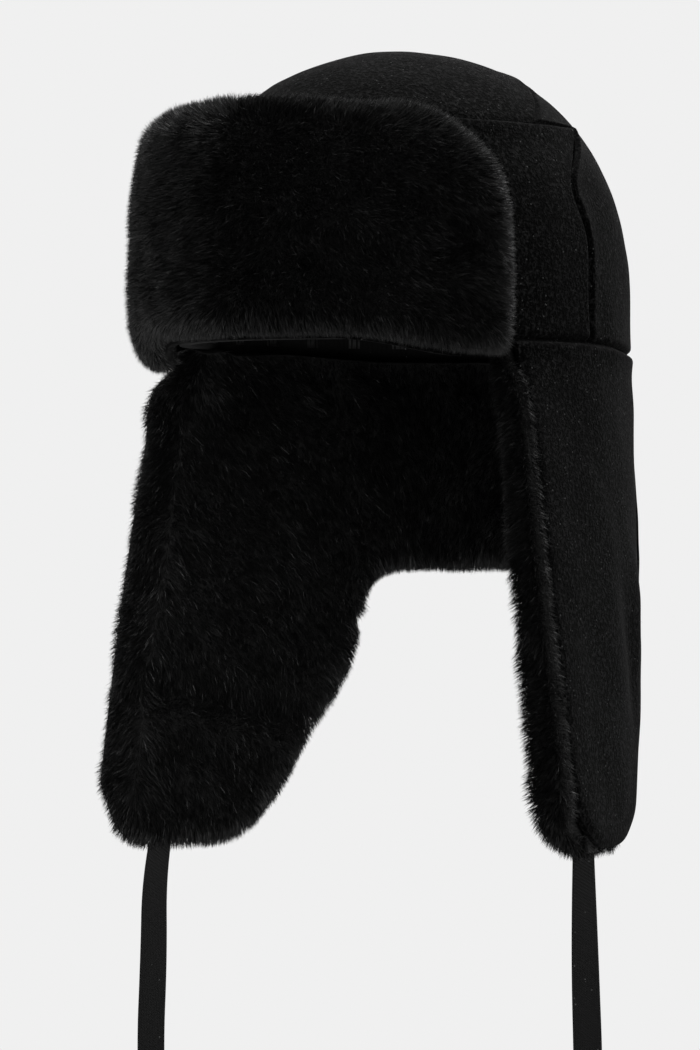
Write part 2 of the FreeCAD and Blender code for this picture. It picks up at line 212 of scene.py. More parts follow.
def node(tree, kind, settings=(), **inputs):
    """A node of one kind with its settings. Its inputs go by name, or by number as i0, i1."""
    made = tree.nodes.new(kind)
    for name, value in dict(settings).items():
        setattr(made, name, value)
    for name, value in inputs.items():
        numbered = name[0] == "i" and name[1:].isdigit()
        put(tree, made.inputs[int(name[1:]) if numbered else name.replace("_", " ")], value)
    return made


def maths(tree, operation, first, second=0.0, clamp=False):
    """One sum on numbers or sockets."""
    settings = {"operation": operation, "use_clamp": clamp}
    return node(tree, "ShaderNodeMath", settings, i0=first, i1=second).outputs[0]


def times(tree, first, second):
    """first times second."""
    return maths(tree, "MULTIPLY", first, second)


def plus(tree, first, second, clamp=False):
    """first plus second."""
    return maths(tree, "ADD", first, second, clamp)


def ramp(tree, value, low, high, to_low=0.0, to_high=1.0):
    """value taken from the range low to high onto another range, and held at its ends."""
    return node(tree, "ShaderNodeMapRange", {"interpolation_type": "SMOOTHSTEP"},
                i0=value, i1=low, i2=high, i3=to_low, i4=to_high).outputs[0]


def tint(tree, share, first, second):
    """A colour between two colours."""
    made = node(tree, "ShaderNodeMix", {"data_type": "RGBA"}, i0=share, i6=first, i7=second)
    return made.outputs[2]


def noise(tree, vector, scale, detail=3.0, rough=0.55):
    """Noise from 0 to 1 at a scale per metre."""
    made = node(tree, "ShaderNodeTexNoise", Vector=vector, Scale=scale, Detail=detail,
                Roughness=rough)
    return made.outputs["Fac"]


def stretched(tree, vector, scale, turn=(0, 0, 0)):
    """A place turned and scaled before a pattern is read there."""
    made = node(tree, "ShaderNodeMapping", Vector=vector, Rotation=turn, Scale=scale)
    return made.outputs["Vector"]


def grey(value):
    """A grey colour with its alpha."""
    return (value, value, value, 1.0)


def new_group(name, inputs, outputs):
    """An empty node group with named sockets; returns it with its two end nodes."""
    tree = bpy.data.node_groups.new(name, "ShaderNodeTree")
    for label, kind, default in inputs:
        socket = tree.interface.new_socket(name=label, in_out="INPUT",
                                           socket_type=f"NodeSocket{kind}")
        if default is not None:
            socket.default_value = default
    for label, kind in outputs:
        tree.interface.new_socket(name=label, in_out="OUTPUT", socket_type=f"NodeSocket{kind}")
    return tree, tree.nodes.new("NodeGroupInput").outputs, tree.nodes.new("NodeGroupOutput").inputs


# %% Fibres, a matted nap
def fibres_group():
    """Short hairs at two angles over soft clouds of thicker and thinner nap."""
    tree, given, out = new_group("Fibres", [
        ("Place", "Vector", None), ("Colour", "Color", grey(0.01)),
        ("Nap colour", "Color", grey(0.03)), ("Hairs per metre", "Float", 900.0)],
        [("Colour", "Color"), ("Height", "Float"), ("Roughness", "Float")])
    size = given["Hairs per metre"]
    slant = noise(tree, stretched(tree, given["Place"], (1, 1, 0.45), (0.5, 0.3, 0.2)), size, 3)
    cross = noise(tree, stretched(tree, given["Place"], (1, 0.4, 1), (0.2, 0.9, 0.4)), size, 3)
    clouds = noise(tree, given["Place"], times(tree, size, 0.05), 4, 0.6)
    mottle = noise(tree, given["Place"], times(tree, size, 0.5), 3, 0.65)
    hairs = maths(tree, "MAXIMUM", slant, cross)
    raised = ramp(tree, hairs, 0.57, 0.70)
    cloudy = ramp(tree, clouds, 0.35, 0.7, 0.35, 1.0)
    thick = times(tree, ramp(tree, mottle, 0.5, 0.66), 0.5)
    share = plus(tree, times(tree, raised, cloudy), thick, clamp=True)
    tree.links.new(tint(tree, share, given["Colour"], given["Nap colour"]), out["Colour"])
    height = plus(tree, times(tree, hairs, 0.6), times(tree, mottle, 0.7))
    tree.links.new(height, out["Height"])
    tree.links.new(ramp(tree, mottle, 0.3, 0.7, 0.95, 0.8), out["Roughness"])
    return tree


# %% Threads, an over-and-under weave
def threads_group():
    """Warp and weft as two rows of round threads, each on top where the chequer says so. The
    colour is painted light on the thread tops and painted shade in the gaps between them.
    """
    tree, given, out = new_group("Threads", [
        ("Place", "Vector", None), ("Colour", "Color", grey(0.01)),
        ("Gap colour", "Color", grey(0.002)), ("Across per metre", "Float", 1500.0),
        ("Along per metre", "Float", 1500.0), ("Twill", "Float", 0.0)],
        [("Colour", "Color"), ("Height", "Float")])
    parts = node(tree, "ShaderNodeSeparateXYZ", i0=given["Place"]).outputs
    across = times(tree, parts[0], given["Across per metre"])
    along = times(tree, parts[1], given["Along per metre"])
    along = plus(tree, along, times(tree, across, given["Twill"]))
    warp = maths(tree, "ABSOLUTE", maths(tree, "SINE", times(tree, across, math.pi)))
    weft = maths(tree, "ABSOLUTE", maths(tree, "SINE", times(tree, along, math.pi)))
    cells = plus(tree, maths(tree, "FLOOR", across), maths(tree, "FLOOR", along))
    over = maths(tree, "MODULO", maths(tree, "ABSOLUTE", cells), 2.0)
    top = plus(tree, times(tree, warp, over),
                times(tree, weft, maths(tree, "SUBTRACT", 1.0, over)))
    uneven = noise(tree, given["Place"], 700.0, 2)
    height = plus(tree, top, times(tree, uneven, 0.5))
    tree.links.new(height, out["Height"])
    # painted light and shade: the thread tops are lighter, the gaps between threads darker
    lit = ramp(tree, height, 0.2, 1.1)
    tree.links.new(tint(tree, lit, given["Gap colour"], given["Colour"]), out["Colour"])
    return tree


# %% Lint, pale specks and short hairs
def lint_group():
    """Small specks and thin curled hairs, more of them in some places than in others."""
    tree, given, out = new_group("Lint", [
        ("Place", "Vector", None), ("Colour", "Color", grey(0.01)),
        ("Lint colour", "Color", grey(0.12)),
        ("Amount", "Float", 0.5)], [("Colour", "Color"), ("Mask", "Float")])
    specks = node(tree, "ShaderNodeTexVoronoi", Vector=given["Place"], Scale=420.0).outputs
    chance = node(tree, "ShaderNodeSeparateXYZ", i0=specks["Color"]).outputs[0]
    dot = maths(tree, "LESS_THAN", specks["Distance"], times(tree, chance, 0.16))
    common = maths(tree, "SUBTRACT", 1.0, times(tree, given["Amount"], 0.22))
    rare = maths(tree, "GREATER_THAN", chance, common)
    speck = times(tree, dot, rare)
    curls = noise(tree, given["Place"], 330.0, 1, 0.4)
    off_line = maths(tree, "ABSOLUTE", maths(tree, "SUBTRACT", curls, 0.5))
    line = ramp(tree, off_line, 0.0, 0.008, 1.0, 0.0)
    broken = ramp(tree, noise(tree, given["Place"], 700.0, 1), 0.62, 0.7)
    patches = ramp(tree, noise(tree, given["Place"], 45.0, 2), 0.45, 0.65)
    hair = times(tree, times(tree, times(tree, line, broken), patches), given["Amount"])
    mask = maths(tree, "MAXIMUM", speck, hair)
    tree.links.new(tint(tree, mask, given["Colour"], given["Lint colour"]), out["Colour"])
    tree.links.new(mask, out["Mask"])
    return tree


FIBRES, THREADS, LINT = fibres_group(), threads_group(), lint_group()
print("node groups", [tree.name for tree in (FIBRES, THREADS, LINT)])

# %% [markdown]
# ## Finishes
# The whole hat is black, so the finishes differ in gloss and grain far more than in colour. Wool
# is almost without shine. The pile's hairs are smooth plastic, so each catches a small light.
# Each material starts from one Principled shader: what is the same all over is typed into it,
# and only what changes over the surface is wired.

# %% Material helpers
def finish(name, **values):
    """A material whose Principled shader has these plain values, with its tree and shader."""
    material = bpy.data.materials.new(name)
    material.use_nodes = True
    tree = material.node_tree
    shader = tree.nodes["Principled BSDF"]
    for label, value in values.items():
        shader.inputs[label.replace("_", " ")].default_value = value
    return material, tree, shader


def place(tree, own_map=False):
    """The object's own coordinates, or the piece's UV map."""
    if own_map:
        return node(tree, "ShaderNodeUVMap", {"uv_map": "Weave"}).outputs["UV"]
    return tree.nodes.new("ShaderNodeTexCoord").outputs["Object"]


def use(tree, group, **inputs):
    """One of the shared effects, placed in a material with its own values."""
    made = tree.nodes.new("ShaderNodeGroup")
    made.node_tree = group
    for label, value in inputs.items():
        put(tree, made.inputs[label.replace("_", " ")], value)
    return made.outputs


def dress(tree, shader, colour, roughness, height, distance, strength=1.0):
    """Wire a colour, a roughness, and a Bump node of that distance in metres to the shader."""
    tree.links.new(colour, shader.inputs["Base Color"])
    tree.links.new(roughness, shader.inputs["Roughness"])
    bump = node(tree, "ShaderNodeBump", Height=height, Distance=distance, Strength=strength)
    tree.links.new(bump.outputs["Normal"], shader.inputs["Normal"])


# %% Wool and tape
def wool_finish():
    """Felted wool: matted fibres under a little lint."""
    material, tree, shader = finish("felted_wool", Specular_IOR_Level=0.02, Sheen_Weight=0.07,
                                    Sheen_Roughness=0.5, Sheen_Tint=grey(0.2))
    where = place(tree)
    nap = use(tree, FIBRES, Place=where, Colour=grey(0.0001), Nap_colour=grey(0.0175),
              Hairs_per_metre=1100.0)
    dusty = use(tree, LINT, Place=where, Colour=nap["Colour"], Lint_colour=grey(0.07), Amount=1.0)
    dress(tree, shader, dusty["Colour"], nap["Roughness"], nap["Height"], 0.9 * MM)
    return material


def tape_finish(name, colour, gap_shade, across, along, twill=0.0, raised=0.4 * MM, lint=0.4):
    """Woven tape that follows the piece's UV map, in metres across and along. The darker colour
    in the gaps of the weave is painted shade.
    """
    material, tree, shader = finish(name, Specular_IOR_Level=0.12, Sheen_Weight=0.05,
                                    Sheen_Roughness=0.5, Sheen_Tint=grey(0.3))
    weave = use(tree, THREADS, Place=place(tree, True), Colour=grey(colour), Gap_colour=grey(gap_shade),
                Across_per_metre=across, Along_per_metre=along, Twill=twill)
    dusty = use(tree, LINT, Place=place(tree), Colour=weave["Colour"], Lint_colour=grey(0.12),
                Amount=lint)
    rough = ramp(tree, weave["Height"], 0.2, 1.2, 0.9, 0.65)
    dress(tree, shader, dusty["Colour"], rough, weave["Height"], raised)
    return material


# %% Fur, satin and the hidden cloths
def fur_finish():
    """Plush hairs. The piece's UV map holds a number drawn for each hair, and the height up it.
    The colour is darker towards each root and on the underfur, as painted shade deep in the
    pile, and the few hairs drawn highest carry a light painted glint towards the tip.
    """
    material, tree, shader = finish("plush_fur", Specular_IOR_Level=0.3)
    drawn, up = node(tree, "ShaderNodeSeparateXYZ", i0=place(tree, True)).outputs[:2]
    # painted shade: the colour darkens from each hair's tip to its root, and the underfur takes the
    # darkest root colour
    height = ramp(tree, up, 0.15, 1.0)
    share = times(tree, height, ramp(tree, drawn, 0.0, 1.0, 0.55, 1.0))
    # painted glint: the few hairs drawn above 0.985 get a light painted highlight towards the tip
    glint_tip = times(tree, maths(tree, "GREATER_THAN", drawn, 0.985), height)
    colour = tint(tree, glint_tip, tint(tree, share, grey(0.0004), grey(0.0042)), grey(0.095))
    rough = plus(tree, ramp(tree, drawn, 0.0, 1.0, 0.32, 0.58), ramp(tree, up, 0.1, 0.7, 0.5, 0.0))
    strands = noise(tree, stretched(tree, place(tree), (1, 1, 0.2)), 2500.0, 2)
    dress(tree, shader, colour, rough, strands, 0.3 * MM, 0.5)
    return material


def satin_finish():
    """Lining satin: very fine threads with a soft shine."""
    material, tree, shader = finish("lining_satin", Specular_IOR_Level=0.5)
    where = place(tree)
    weave = use(tree, THREADS, Place=stretched(tree, where, (1, 1, 1), (math.pi / 2, 0, 0)),
                Colour=grey(0.012), Gap_colour=grey(0.004), Across_per_metre=2600.0,
                Along_per_metre=2600.0)
    rough = ramp(tree, noise(tree, where, 60.0, 3), 0.3, 0.7, 0.32, 0.48)
    dress(tree, shader, weave["Colour"], rough, weave["Height"], 0.1 * MM, 0.4)
    return material


def loose_finish(name, colour, nap, per_metre, raised):
    """Wadding and interlining: loose matted fibres."""
    material, tree, shader = finish(name, Specular_IOR_Level=0.2)
    fluff = use(tree, FIBRES, Place=place(tree), Colour=grey(colour), Nap_colour=grey(nap),
                Hairs_per_metre=per_metre)
    dress(tree, shader, fluff["Colour"], fluff["Roughness"], fluff["Height"], raised)
    return material


WOOL = wool_finish()
FUR = fur_finish()
TIE_TAPE = tape_finish("tie_tape", 0.012, 0.0010, 1400.0, 1400.0, 0.5)
BAND_TAPE = tape_finish("sweatband_tape", 0.014, 0.004, 900.0, 1800.0)
THREAD = tape_finish("sewing_thread", 0.02, 0.006, 2500.0, 1200.0, 1.0, 0.1 * MM, 0.0)
SATIN = satin_finish()
WADDING = loose_finish("wadding", 0.55, 0.75, 500.0, 1.5 * MM)
INTERLINING = loose_finish("interlining", 0.05, 0.11, 900.0, 0.4 * MM)
FINISHES = (WOOL, FUR, TIE_TAPE, BAND_TAPE, THREAD, SATIN, WADDING, INTERLINING)
print("finishes", [made.name for made in FINISHES])

# %% [markdown]
# ## Ties
# Each ear flap has one flat woven tie, 12 mm wide and about 267 mm long with its turned hem. It
# is limp and hangs straight from the tab it is sewn to. A ribbon could be a bevelled curve, but
# then it can't twist part of the way down, so it is a mesh whose section is carried along the
# tie's own NURBS line, and turned a little more at each point.

# %% The line of a tie
TIE_ROOT = (0.1155, -0.027, -0.2130)
TIE_ROUTE = {
    "left": [(0, 0, 0), (0.6, 0, 42), (2.8, 0, 96), (2.4, 0, 156), (-0.4, 0, 212), (-2.2, 0, 258)],
    "right": [(0, 0, 0), (2.6, -2.6, 20), (3.0, -2.4, 58), (5.2, -2.6, 100), (3.2, -1, 156),
              (-0.4, 0, 212), (-2.2, 0, 258)],
}
TIE_WIDTH, TIE_THICK, TIE_LENGTH = 12 * MM, 1.3 * MM, 258.1 * MM
SECTION_POINTS = 28


def route_line(route):
    """Points along an open NURBS spline of order 3 that has the route as its control points."""
    curve = bpy.data.curves.new("route", "CURVE")
    curve.dimensions = "3D"
    spline = curve.splines.new("NURBS")
    spline.points.add(len(route) - 1)
    spline.points.foreach_set("co", np.c_[route, np.ones(len(route))].ravel())
    spline.order_u = 3
    spline.use_endpoint_u = True
    spline.resolution_u = 16
    holder = bpy.data.objects.new("route", curve)
    bpy.context.scene.collection.objects.link(holder)
    line = bpy.data.meshes.new_from_object(holder)
    points = np.empty(len(line.vertices) * 3)
    line.vertices.foreach_get("co", points)
    bpy.data.objects.remove(holder)
    bpy.data.meshes.remove(line)
    bpy.data.curves.remove(curve)
    return points.reshape(-1, 3)


def tape_section(width, thickness):
    """A closed loop across a tape: a flat oval whose edges, the selvages, are a little thicker."""
    turn = np.linspace(0, 2 * math.pi, SECTION_POINTS, endpoint=False)
    across = np.sign(np.cos(turn)) * np.abs(np.cos(turn)) ** 0.45 * width / 2
    share = np.abs(across) / (width / 2)
    selvage = 0.72 + 0.28 * step(share, 0.7, 0.86)
    through = np.sign(np.sin(turn)) * np.abs(np.sin(turn)) ** 0.5 * thickness / 2 * selvage
    return across, through


def along_line(line):
    """Distance along a line of points, in metres, from its start."""
    return np.concatenate([[0], np.cumsum(np.linalg.norm(np.diff(line, axis=0), axis=1))])


def level_across(ahead):
    """The level direction across a line that hangs: (ahead crossed with Y) crossed with ahead."""
    return unit(np.cross(np.cross(ahead, [0, 1.0, 0]), ahead))


def ribbon(line, width, thickness, twist):
    """The section carried along the line, turned about it by an angle at each point.

    Each ring is the line's point, plus the across distance along the turned width direction,
    plus the through distance along the cross product of that direction and the line's."""
    ahead = unit(np.gradient(line, axis=0))
    level = level_across(ahead)
    square = np.cross(ahead, level)
    turn = twist[:, None]
    wide = level * np.cos(turn) + square * np.sin(turn)
    thick = np.cross(ahead, wide)
    across, through = tape_section(width, thickness)
    rings = (line[:, None] + wide[:, None] * across[None, :, None]
             + thick[:, None] * through[None, :, None])
    uv = np.stack(np.broadcast_arrays(across[None, :], along_line(line)[:, None]), axis=-1)
    return rings, uv


def capped(rings, uv):
    """Points, faces and UVs of a tube of rings, with a point that closes each end."""
    rows, count = rings.shape[:2]
    points = np.concatenate([rings.reshape(-1, 3), rings[0].mean(0)[None], rings[-1].mean(0)[None]])
    place_uv = np.concatenate([uv.reshape(-1, 2), uv[0].mean(0)[None], uv[-1].mean(0)[None]])
    here = np.arange(count)
    after = (here + 1) % count
    first = np.stack([after, here, np.full(count, rows * count)], axis=-1)
    last_row = (rows - 1) * count
    last = np.stack([here + last_row, after + last_row, np.full(count, rows * count + 1)], axis=-1)
    return points, [grid_faces(rows, count, wrap=True), first, last], place_uv


# %% Ties
ties = {}
for side, sign in SIDES.items():
    route = np.array(TIE_ROOT) + np.array(TIE_ROUTE[side]) * (MM, MM, -MM)
    route[:, 0] *= sign
    line = route_line(route)
    far = along_line(line)
    twist = (math.radians(52) * step(far, -0.04, 0.105)
             + np.sin(far * 40) * 0.1 * step(far, 0.06, 0.14))
    rings, uv = ribbon(line, TIE_WIDTH, TIE_THICK, twist)
    points, faces, uv = capped(rings, uv)
    tie = new_piece(f"tie_tape_{side}", new_mesh(f"tie_tape_{side}", points, faces, uv, tidy=True),
                    TIE_TAPE, "tie_tape", f"tie_{side}")
    ties[side] = (tie, line, twist)
    print(tie.name, "length", round(far[-1], 4), "ends at", np.round(line[-1], 4))

# %% [markdown]
# ### The hem at the end of a tie
# The tape's end is turned back on itself and sewn, so that it can't fray. The hem is a short
# double thickness of the same tape: the fold is round at the bottom, and the turned end lies
# against the back.

# %% Hems
HEM_LENGTH, HEM_LAP, HEM_ROUND = 9 * MM, 0.6 * MM, 1.5 * MM


def hem(line, twist):
    """A ribbon twice as thick that goes on from the end of a tie. Its thickness, but not its width,
    is multiplied by a keep factor that rounds off both of its ends."""
    ahead = unit(line[-1] - line[-4])
    along = np.linspace(-HEM_LAP, HEM_LENGTH, 14)
    hem_line = line[-1] + ahead * along[:, None]
    rings, uv = ribbon(hem_line, TIE_WIDTH * 1.03, 3 * MM, np.full(len(along), twist))
    end = np.clip((along - (HEM_LENGTH - HEM_ROUND)) / HEM_ROUND, 0, 1)
    start = np.clip(1 - (along + HEM_LAP) / (2 * HEM_LAP), 0, 1)
    keep = np.sqrt(np.maximum(1 - end**2, 0.04)) * (1 - 0.35 * start)
    level = level_across(ahead)
    width_way = level * np.cos(twist) + np.cross(ahead, level) * np.sin(twist)
    across = rings - hem_line[:, None]
    side_part = (across @ width_way)[..., None] * width_way
    rings = hem_line[:, None] + side_part + (across - side_part) * keep[:, None, None]
    return rings, uv + (0, 0.2)


for side, (tie, line, twist) in ties.items():
    points, faces, uv = capped(*hem(line, twist[-1]))
    end = new_piece(f"tie_hem_{side}", new_mesh(f"tie_hem_{side}", points, faces, uv, tidy=True),
                    TIE_TAPE, "tie_tape", f"tie_end_{side}")
    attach(tie, f"tape_{side}")
    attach(end, f"tape_{side}")
    print(end.name, "made")

# %% [markdown]
# ## The shapes that the layers share
# The crown is a superellipse dome: its level cut is an oval that shrinks with height, slowly at
# first and quickly near the top. The flaps lie on a cone that flares down and leans forward. The
# brim stands upright round the brow. Every layer of cloth is one of these three surfaces moved
# out or in along its normals, so layers never cross.

# %% Crown and flap surfaces
HALF_WIDTH, HALF_LENGTH, CROWN_TALL, FULLNESS = 92 * MM, 110 * MM, 127 * MM, 2.9
SKIRT_DEPTH, FLARE_X, FLARE_Y, SKIRT_SHIFT = 240 * MM, 41 * MM, 108 * MM, 100 * MM
SEAM_SAG = 4 * MM
EDGE_CURL = {1: 2.5 * MM, -1: 7 * MM}


def crown_side(y, height):
    """Distance from the middle to the crown: half width times the root of f squared less
    (y / half length) squared. f is the root of 1 - (height / crown height) to the fullness."""
    share = 1 - np.clip(height / CROWN_TALL, 0, 1) ** FULLNESS
    return HALF_WIDTH * np.sqrt(np.maximum(share - (y / HALF_LENGTH) ** 2, 0))


def crown_profile(turn):
    """The crown's middle line from the brow (0) over the top (a quarter turn) to the nape:
    y is -half length times cos, height is crown height times sin to the power 2 / fullness."""
    return -HALF_LENGTH * np.cos(turn), CROWN_TALL * np.sin(turn) ** (2 / FULLNESS)


def skirt_side(y, depth):
    """Distance from the middle to the flaps' cone: at each depth an oval wider by the flare and
    moved forward by the shift, solved for x."""
    share = depth / SKIRT_DEPTH
    along = (y + SKIRT_SHIFT * share) / (HALF_LENGTH + FLARE_Y * share)
    return (HALF_WIDTH + FLARE_X * share) * np.sqrt(np.maximum(1 - along**2, 0))


def seam_sag(y):
    """How far the seam between crown and flaps hangs below level towards the nape."""
    return SEAM_SAG * step(y, 5 * MM, 80 * MM)


def on_flap(y, depth, sign):
    """Points of the flaps' cone seen from the side; the top edge follows the sag of the seam. The
    front edge curls out by a bell round its y, the right flap's more."""
    low = depth + seam_sag(y) * (1 - step(depth, 0, 50 * MM))
    curl = EDGE_CURL[sign] * step(depth, 0, 30 * MM) * bell(y + 46 * MM, 24 * MM)
    return np.stack([sign * (skirt_side(y, depth) + curl), y, -low], axis=-1)


# %% [markdown]
# ## Cloth beside a seam
# Thick wool can't lie flat into a seam: it dips in at the stitching, and swells a little beside
# it. Real seams are also never quite straight, so the cloth is rippled very slightly, more beside
# a seam, where the stitches draw it in.

# %% Seam shapes
def run_lengths(grid, axis):
    """Distance along the grid's lines from its start, and back from its end."""
    steps = np.linalg.norm(np.diff(grid, axis=axis), axis=-1)
    start = np.insert(np.cumsum(steps, axis=axis), 0, 0, axis=axis)
    return start, np.take(start, [-1], axis=axis) - start


def seam_dip(distance, dip, swell=0.5 * MM, reach=1.3 * MM):
    """-dip times a bell of the distance, plus swell times a wider bell less the narrow one."""
    near = bell(distance, reach)
    return -dip * near + swell * (1 - near) * bell(distance, reach * 5)


def to_outline(y, z, outline):
    """Shortest distance from each place to a line of points, by the foot on each of its runs."""
    place_at = np.stack([y, z], axis=-1).reshape(-1, 1, 2)
    start, run = outline[None, :-1], np.diff(outline, axis=0)[None]
    foot = np.clip(((place_at - start) * run).sum(-1) / np.maximum((run**2).sum(-1), 1e-12), 0, 1)
    return np.linalg.norm(place_at - start - run * foot[..., None], axis=-1).min(1).reshape(y.shape)


def rounded_path(corners, radii):
    """A line through corners, each rounded by an arc that touches both of its runs."""
    corners = np.array(corners, float)
    path = [corners[:1]]
    for before, corner, after, radius in zip(corners[:-2], corners[1:-1], corners[2:], radii):
        first, second = unit(before - corner), unit(after - corner)
        half = math.acos(float(np.clip(first @ second, -1, 1))) / 2
        centre = corner + unit(first + second) * radius / math.sin(half)
        begin = corner + first * radius / math.tan(half) - centre
        finish_at = corner + second * radius / math.tan(half) - centre
        whole = math.pi - 2 * half
        part = np.linspace(0, 1, 24)[:, None]
        swing = np.sin((1 - part) * whole) * begin + np.sin(part * whole) * finish_at
        path.append(centre + swing / math.sin(whole))
    path.append(corners[-1:])
    return np.concatenate(path)


def along_path(path, shares):
    """Points at shares of a path's length."""
    far = along_line(path)
    return np.stack([np.interp(shares * far[-1], far, values) for values in path.T], axis=-1)


def sheet_faces(grid, outward):
    """The faces of a grid, turned so that they face the outward vectors."""
    rows, columns = grid.shape[:2]
    faces = grid_faces(rows, columns)
    return faces if (grid_normals(grid) * outward).sum() > 0 else faces[:, ::-1]


def shell(front, back, wrap=False):
    """A closed piece between two grids: both faces and the walls round their edges."""
    rows, columns = front.shape[:2]
    index = np.arange(rows * columns).reshape(rows, columns)
    faces = [grid_faces(rows, columns, wrap=wrap),
             grid_faces(rows, columns, rows * columns, wrap=wrap)[:, ::-1]]
    if wrap:
        loops = [np.append(index[0], index[0, 0])[::-1], np.append(index[-1], index[-1, 0])]
    else:
        rim = np.concatenate([index[0, :-1], index[:-1, -1], index[-1, :0:-1], index[:0:-1, 0]])
        loops = [np.append(rim, rim[0])[::-1]]
    for loop in loops:
        here, after = loop[:-1], loop[1:]
        far_side = (after + rows * columns, here + rows * columns)
        faces.append(np.stack([here, after, *far_side], axis=-1))
    return np.concatenate([front.reshape(-1, 3), back.reshape(-1, 3)]), faces


def outward_normals(grid):
    """Grid normals, turned away from the hat's upright middle line."""
    normals = grid_normals(grid)
    return normals if (normals * grid * (1, 1, 0)).sum() > 0 else -normals


def cell_areas(grid):
    """Twice the area of each cell: the length of the cross product of its diagonals."""
    diagonals = np.cross(grid[1:, 1:] - grid[:-1, :-1], grid[1:, :-1] - grid[:-1, 1:])
    return np.linalg.norm(diagonals, axis=-1)


print("the flap cone is", round(float(skirt_side(0.0, 0.2)) * 2, 3), "m across at 0.2 m down")

# %% [markdown]
# ## Crown
# The crown has four wool panels. A side panel stands over each ear, the top panel runs from the
# brow over the head, and the back panel closes the nape and laps round above the ears. Each row
# of the top and back panels is the dome cut by a plane that runs from ear to ear: it starts at a
# point on the seam, rises to the crown's middle line, and falls to the other side.

# %% Crown seams
SHOULDER = 93 * MM
BROW_SEAM_Y, DOME_SEAM_Y, SHOULDER_END_Y = -56 * MM, -1 * MM, 31 * MM
DOME_SEAM_TOP = 40 * MM
DOME_TURN = math.acos(-DOME_SEAM_TOP / HALF_LENGTH)
PANEL_ROWS, PANEL_COLUMNS = 110, 141
NAP_THICK = 2.4 * MM


def side_seam(height):
    """Where the side panel meets the back panel: it leans back as it rises, and is drawn forward
    by the sewing two thirds of the way up."""
    share = np.clip(height / SHOULDER, 0, 1)
    drawn = 12 * bell(share - 0.73, 0.18) * (1 - share**8)
    return (12 + 19 * share**2.6 - drawn) * MM


def dome_rows(start_y, start_z, turn):
    """For each row, places on the straight run from the seam to the middle line, 1 - u squared of
    the way along, and the crown's distance there on the side that u has."""
    u = (crowded_ends(PANEL_COLUMNS) * 2 - 1)[None, :]
    share = 1 - u**2
    top_y, top_z = crown_profile(turn)
    y = start_y[:, None] + (top_y - start_y)[:, None] * share
    z = start_z[:, None] + (top_z - start_z)[:, None] * share
    return np.stack([np.sign(u) * crown_side(y, z), y, z], axis=-1)


def seat_low_edge(grid):
    """The crown's lowest rows follow the sag of the seam."""
    sag = seam_sag(grid[..., 1]) * (1 - step(grid[..., 2], 0, 50 * MM))
    return grid - sag[..., None] * (0, 0, 1)


def wool_sheet(name, grid, offset, nodes, seed):
    """A wool panel: a grid moved out along its normals, rippled, and thickened inwards."""
    normals = outward_normals(grid)
    wave = ripple(grid, 45 * MM, seed) * 0.5 * MM + ripple(grid, 16 * MM, seed + 1) * 0.12 * MM
    surface = grid + normals * (offset + wave)[..., None]
    mesh = new_mesh(name, surface.reshape(-1, 3), [sheet_faces(surface, normals)])
    piece = new_piece(name, mesh, WOOL, "wool_felt", *nodes)
    thick = piece.modifiers.new("thickness", "SOLIDIFY")
    thick.thickness, thick.offset, thick.use_rim = NAP_THICK, -1, True
    return piece


# %% Top panel
rows = crowded_ends(PANEL_ROWS)
path_share = rows * (SHOULDER + DOME_SEAM_Y - BROW_SEAM_Y)
start_z = np.minimum(path_share, SHOULDER)
start_y = BROW_SEAM_Y + np.maximum(path_share - SHOULDER, 0)
grid = dome_rows(start_y, start_z, rows * DOME_TURN)
_, to_dome_seam = run_lengths(grid, 0)
to_side = np.minimum(*run_lengths(grid, 1))
offset = seam_dip(to_dome_seam, 1.4 * MM, 1.2 * MM) + seam_dip(to_side, 0.9 * MM, -0.3 * MM, 2 * MM)
pucker = bell(grid[..., 0] + 28 * MM, 16 * MM) * bell(grid[..., 1] + 52 * MM, 2.2 * MM)
top_panel = wool_sheet("wool_top_panel", grid, offset - pucker * 0.9 * MM, ["top_panel"], 11)
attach(top_panel, "crown")

# %% Back panel
# Its side edges climb the seams with the side panels, then follow the shoulders forward.
SHOULDER_RUN = 29 * MM
path_share = rows * (SHOULDER + SHOULDER_RUN)
start_z = np.minimum(path_share, SHOULDER)
forward = (path_share - SHOULDER) / SHOULDER_RUN * (SHOULDER_END_Y - DOME_SEAM_Y)
start_y = np.where(path_share < SHOULDER, side_seam(start_z), side_seam(SHOULDER) - forward)
grid = seat_low_edge(dome_rows(start_y, start_z, math.pi - rows * (math.pi - DOME_TURN)))
from_neck, to_dome_seam = run_lengths(grid, 0)
to_side = np.minimum(*run_lengths(grid, 1))
offset = (seam_dip(to_dome_seam, 1.3 * MM, 0.9 * MM) + seam_dip(to_side, 1.3 * MM, 0.9 * MM)
          + seam_dip(from_neck, 1.8 * MM, 0.4 * MM, 1.5 * MM))
below_shoulder = step(grid[..., 2], 62 * MM, 86 * MM) * (1 - step(grid[..., 2], 91 * MM, 95 * MM))
offset += 2.2 * MM * bell(to_side, 14 * MM) * below_shoulder
back_panel = wool_sheet("wool_back_panel", grid, offset, ["back_panel"], 12)
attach(back_panel, "crown")

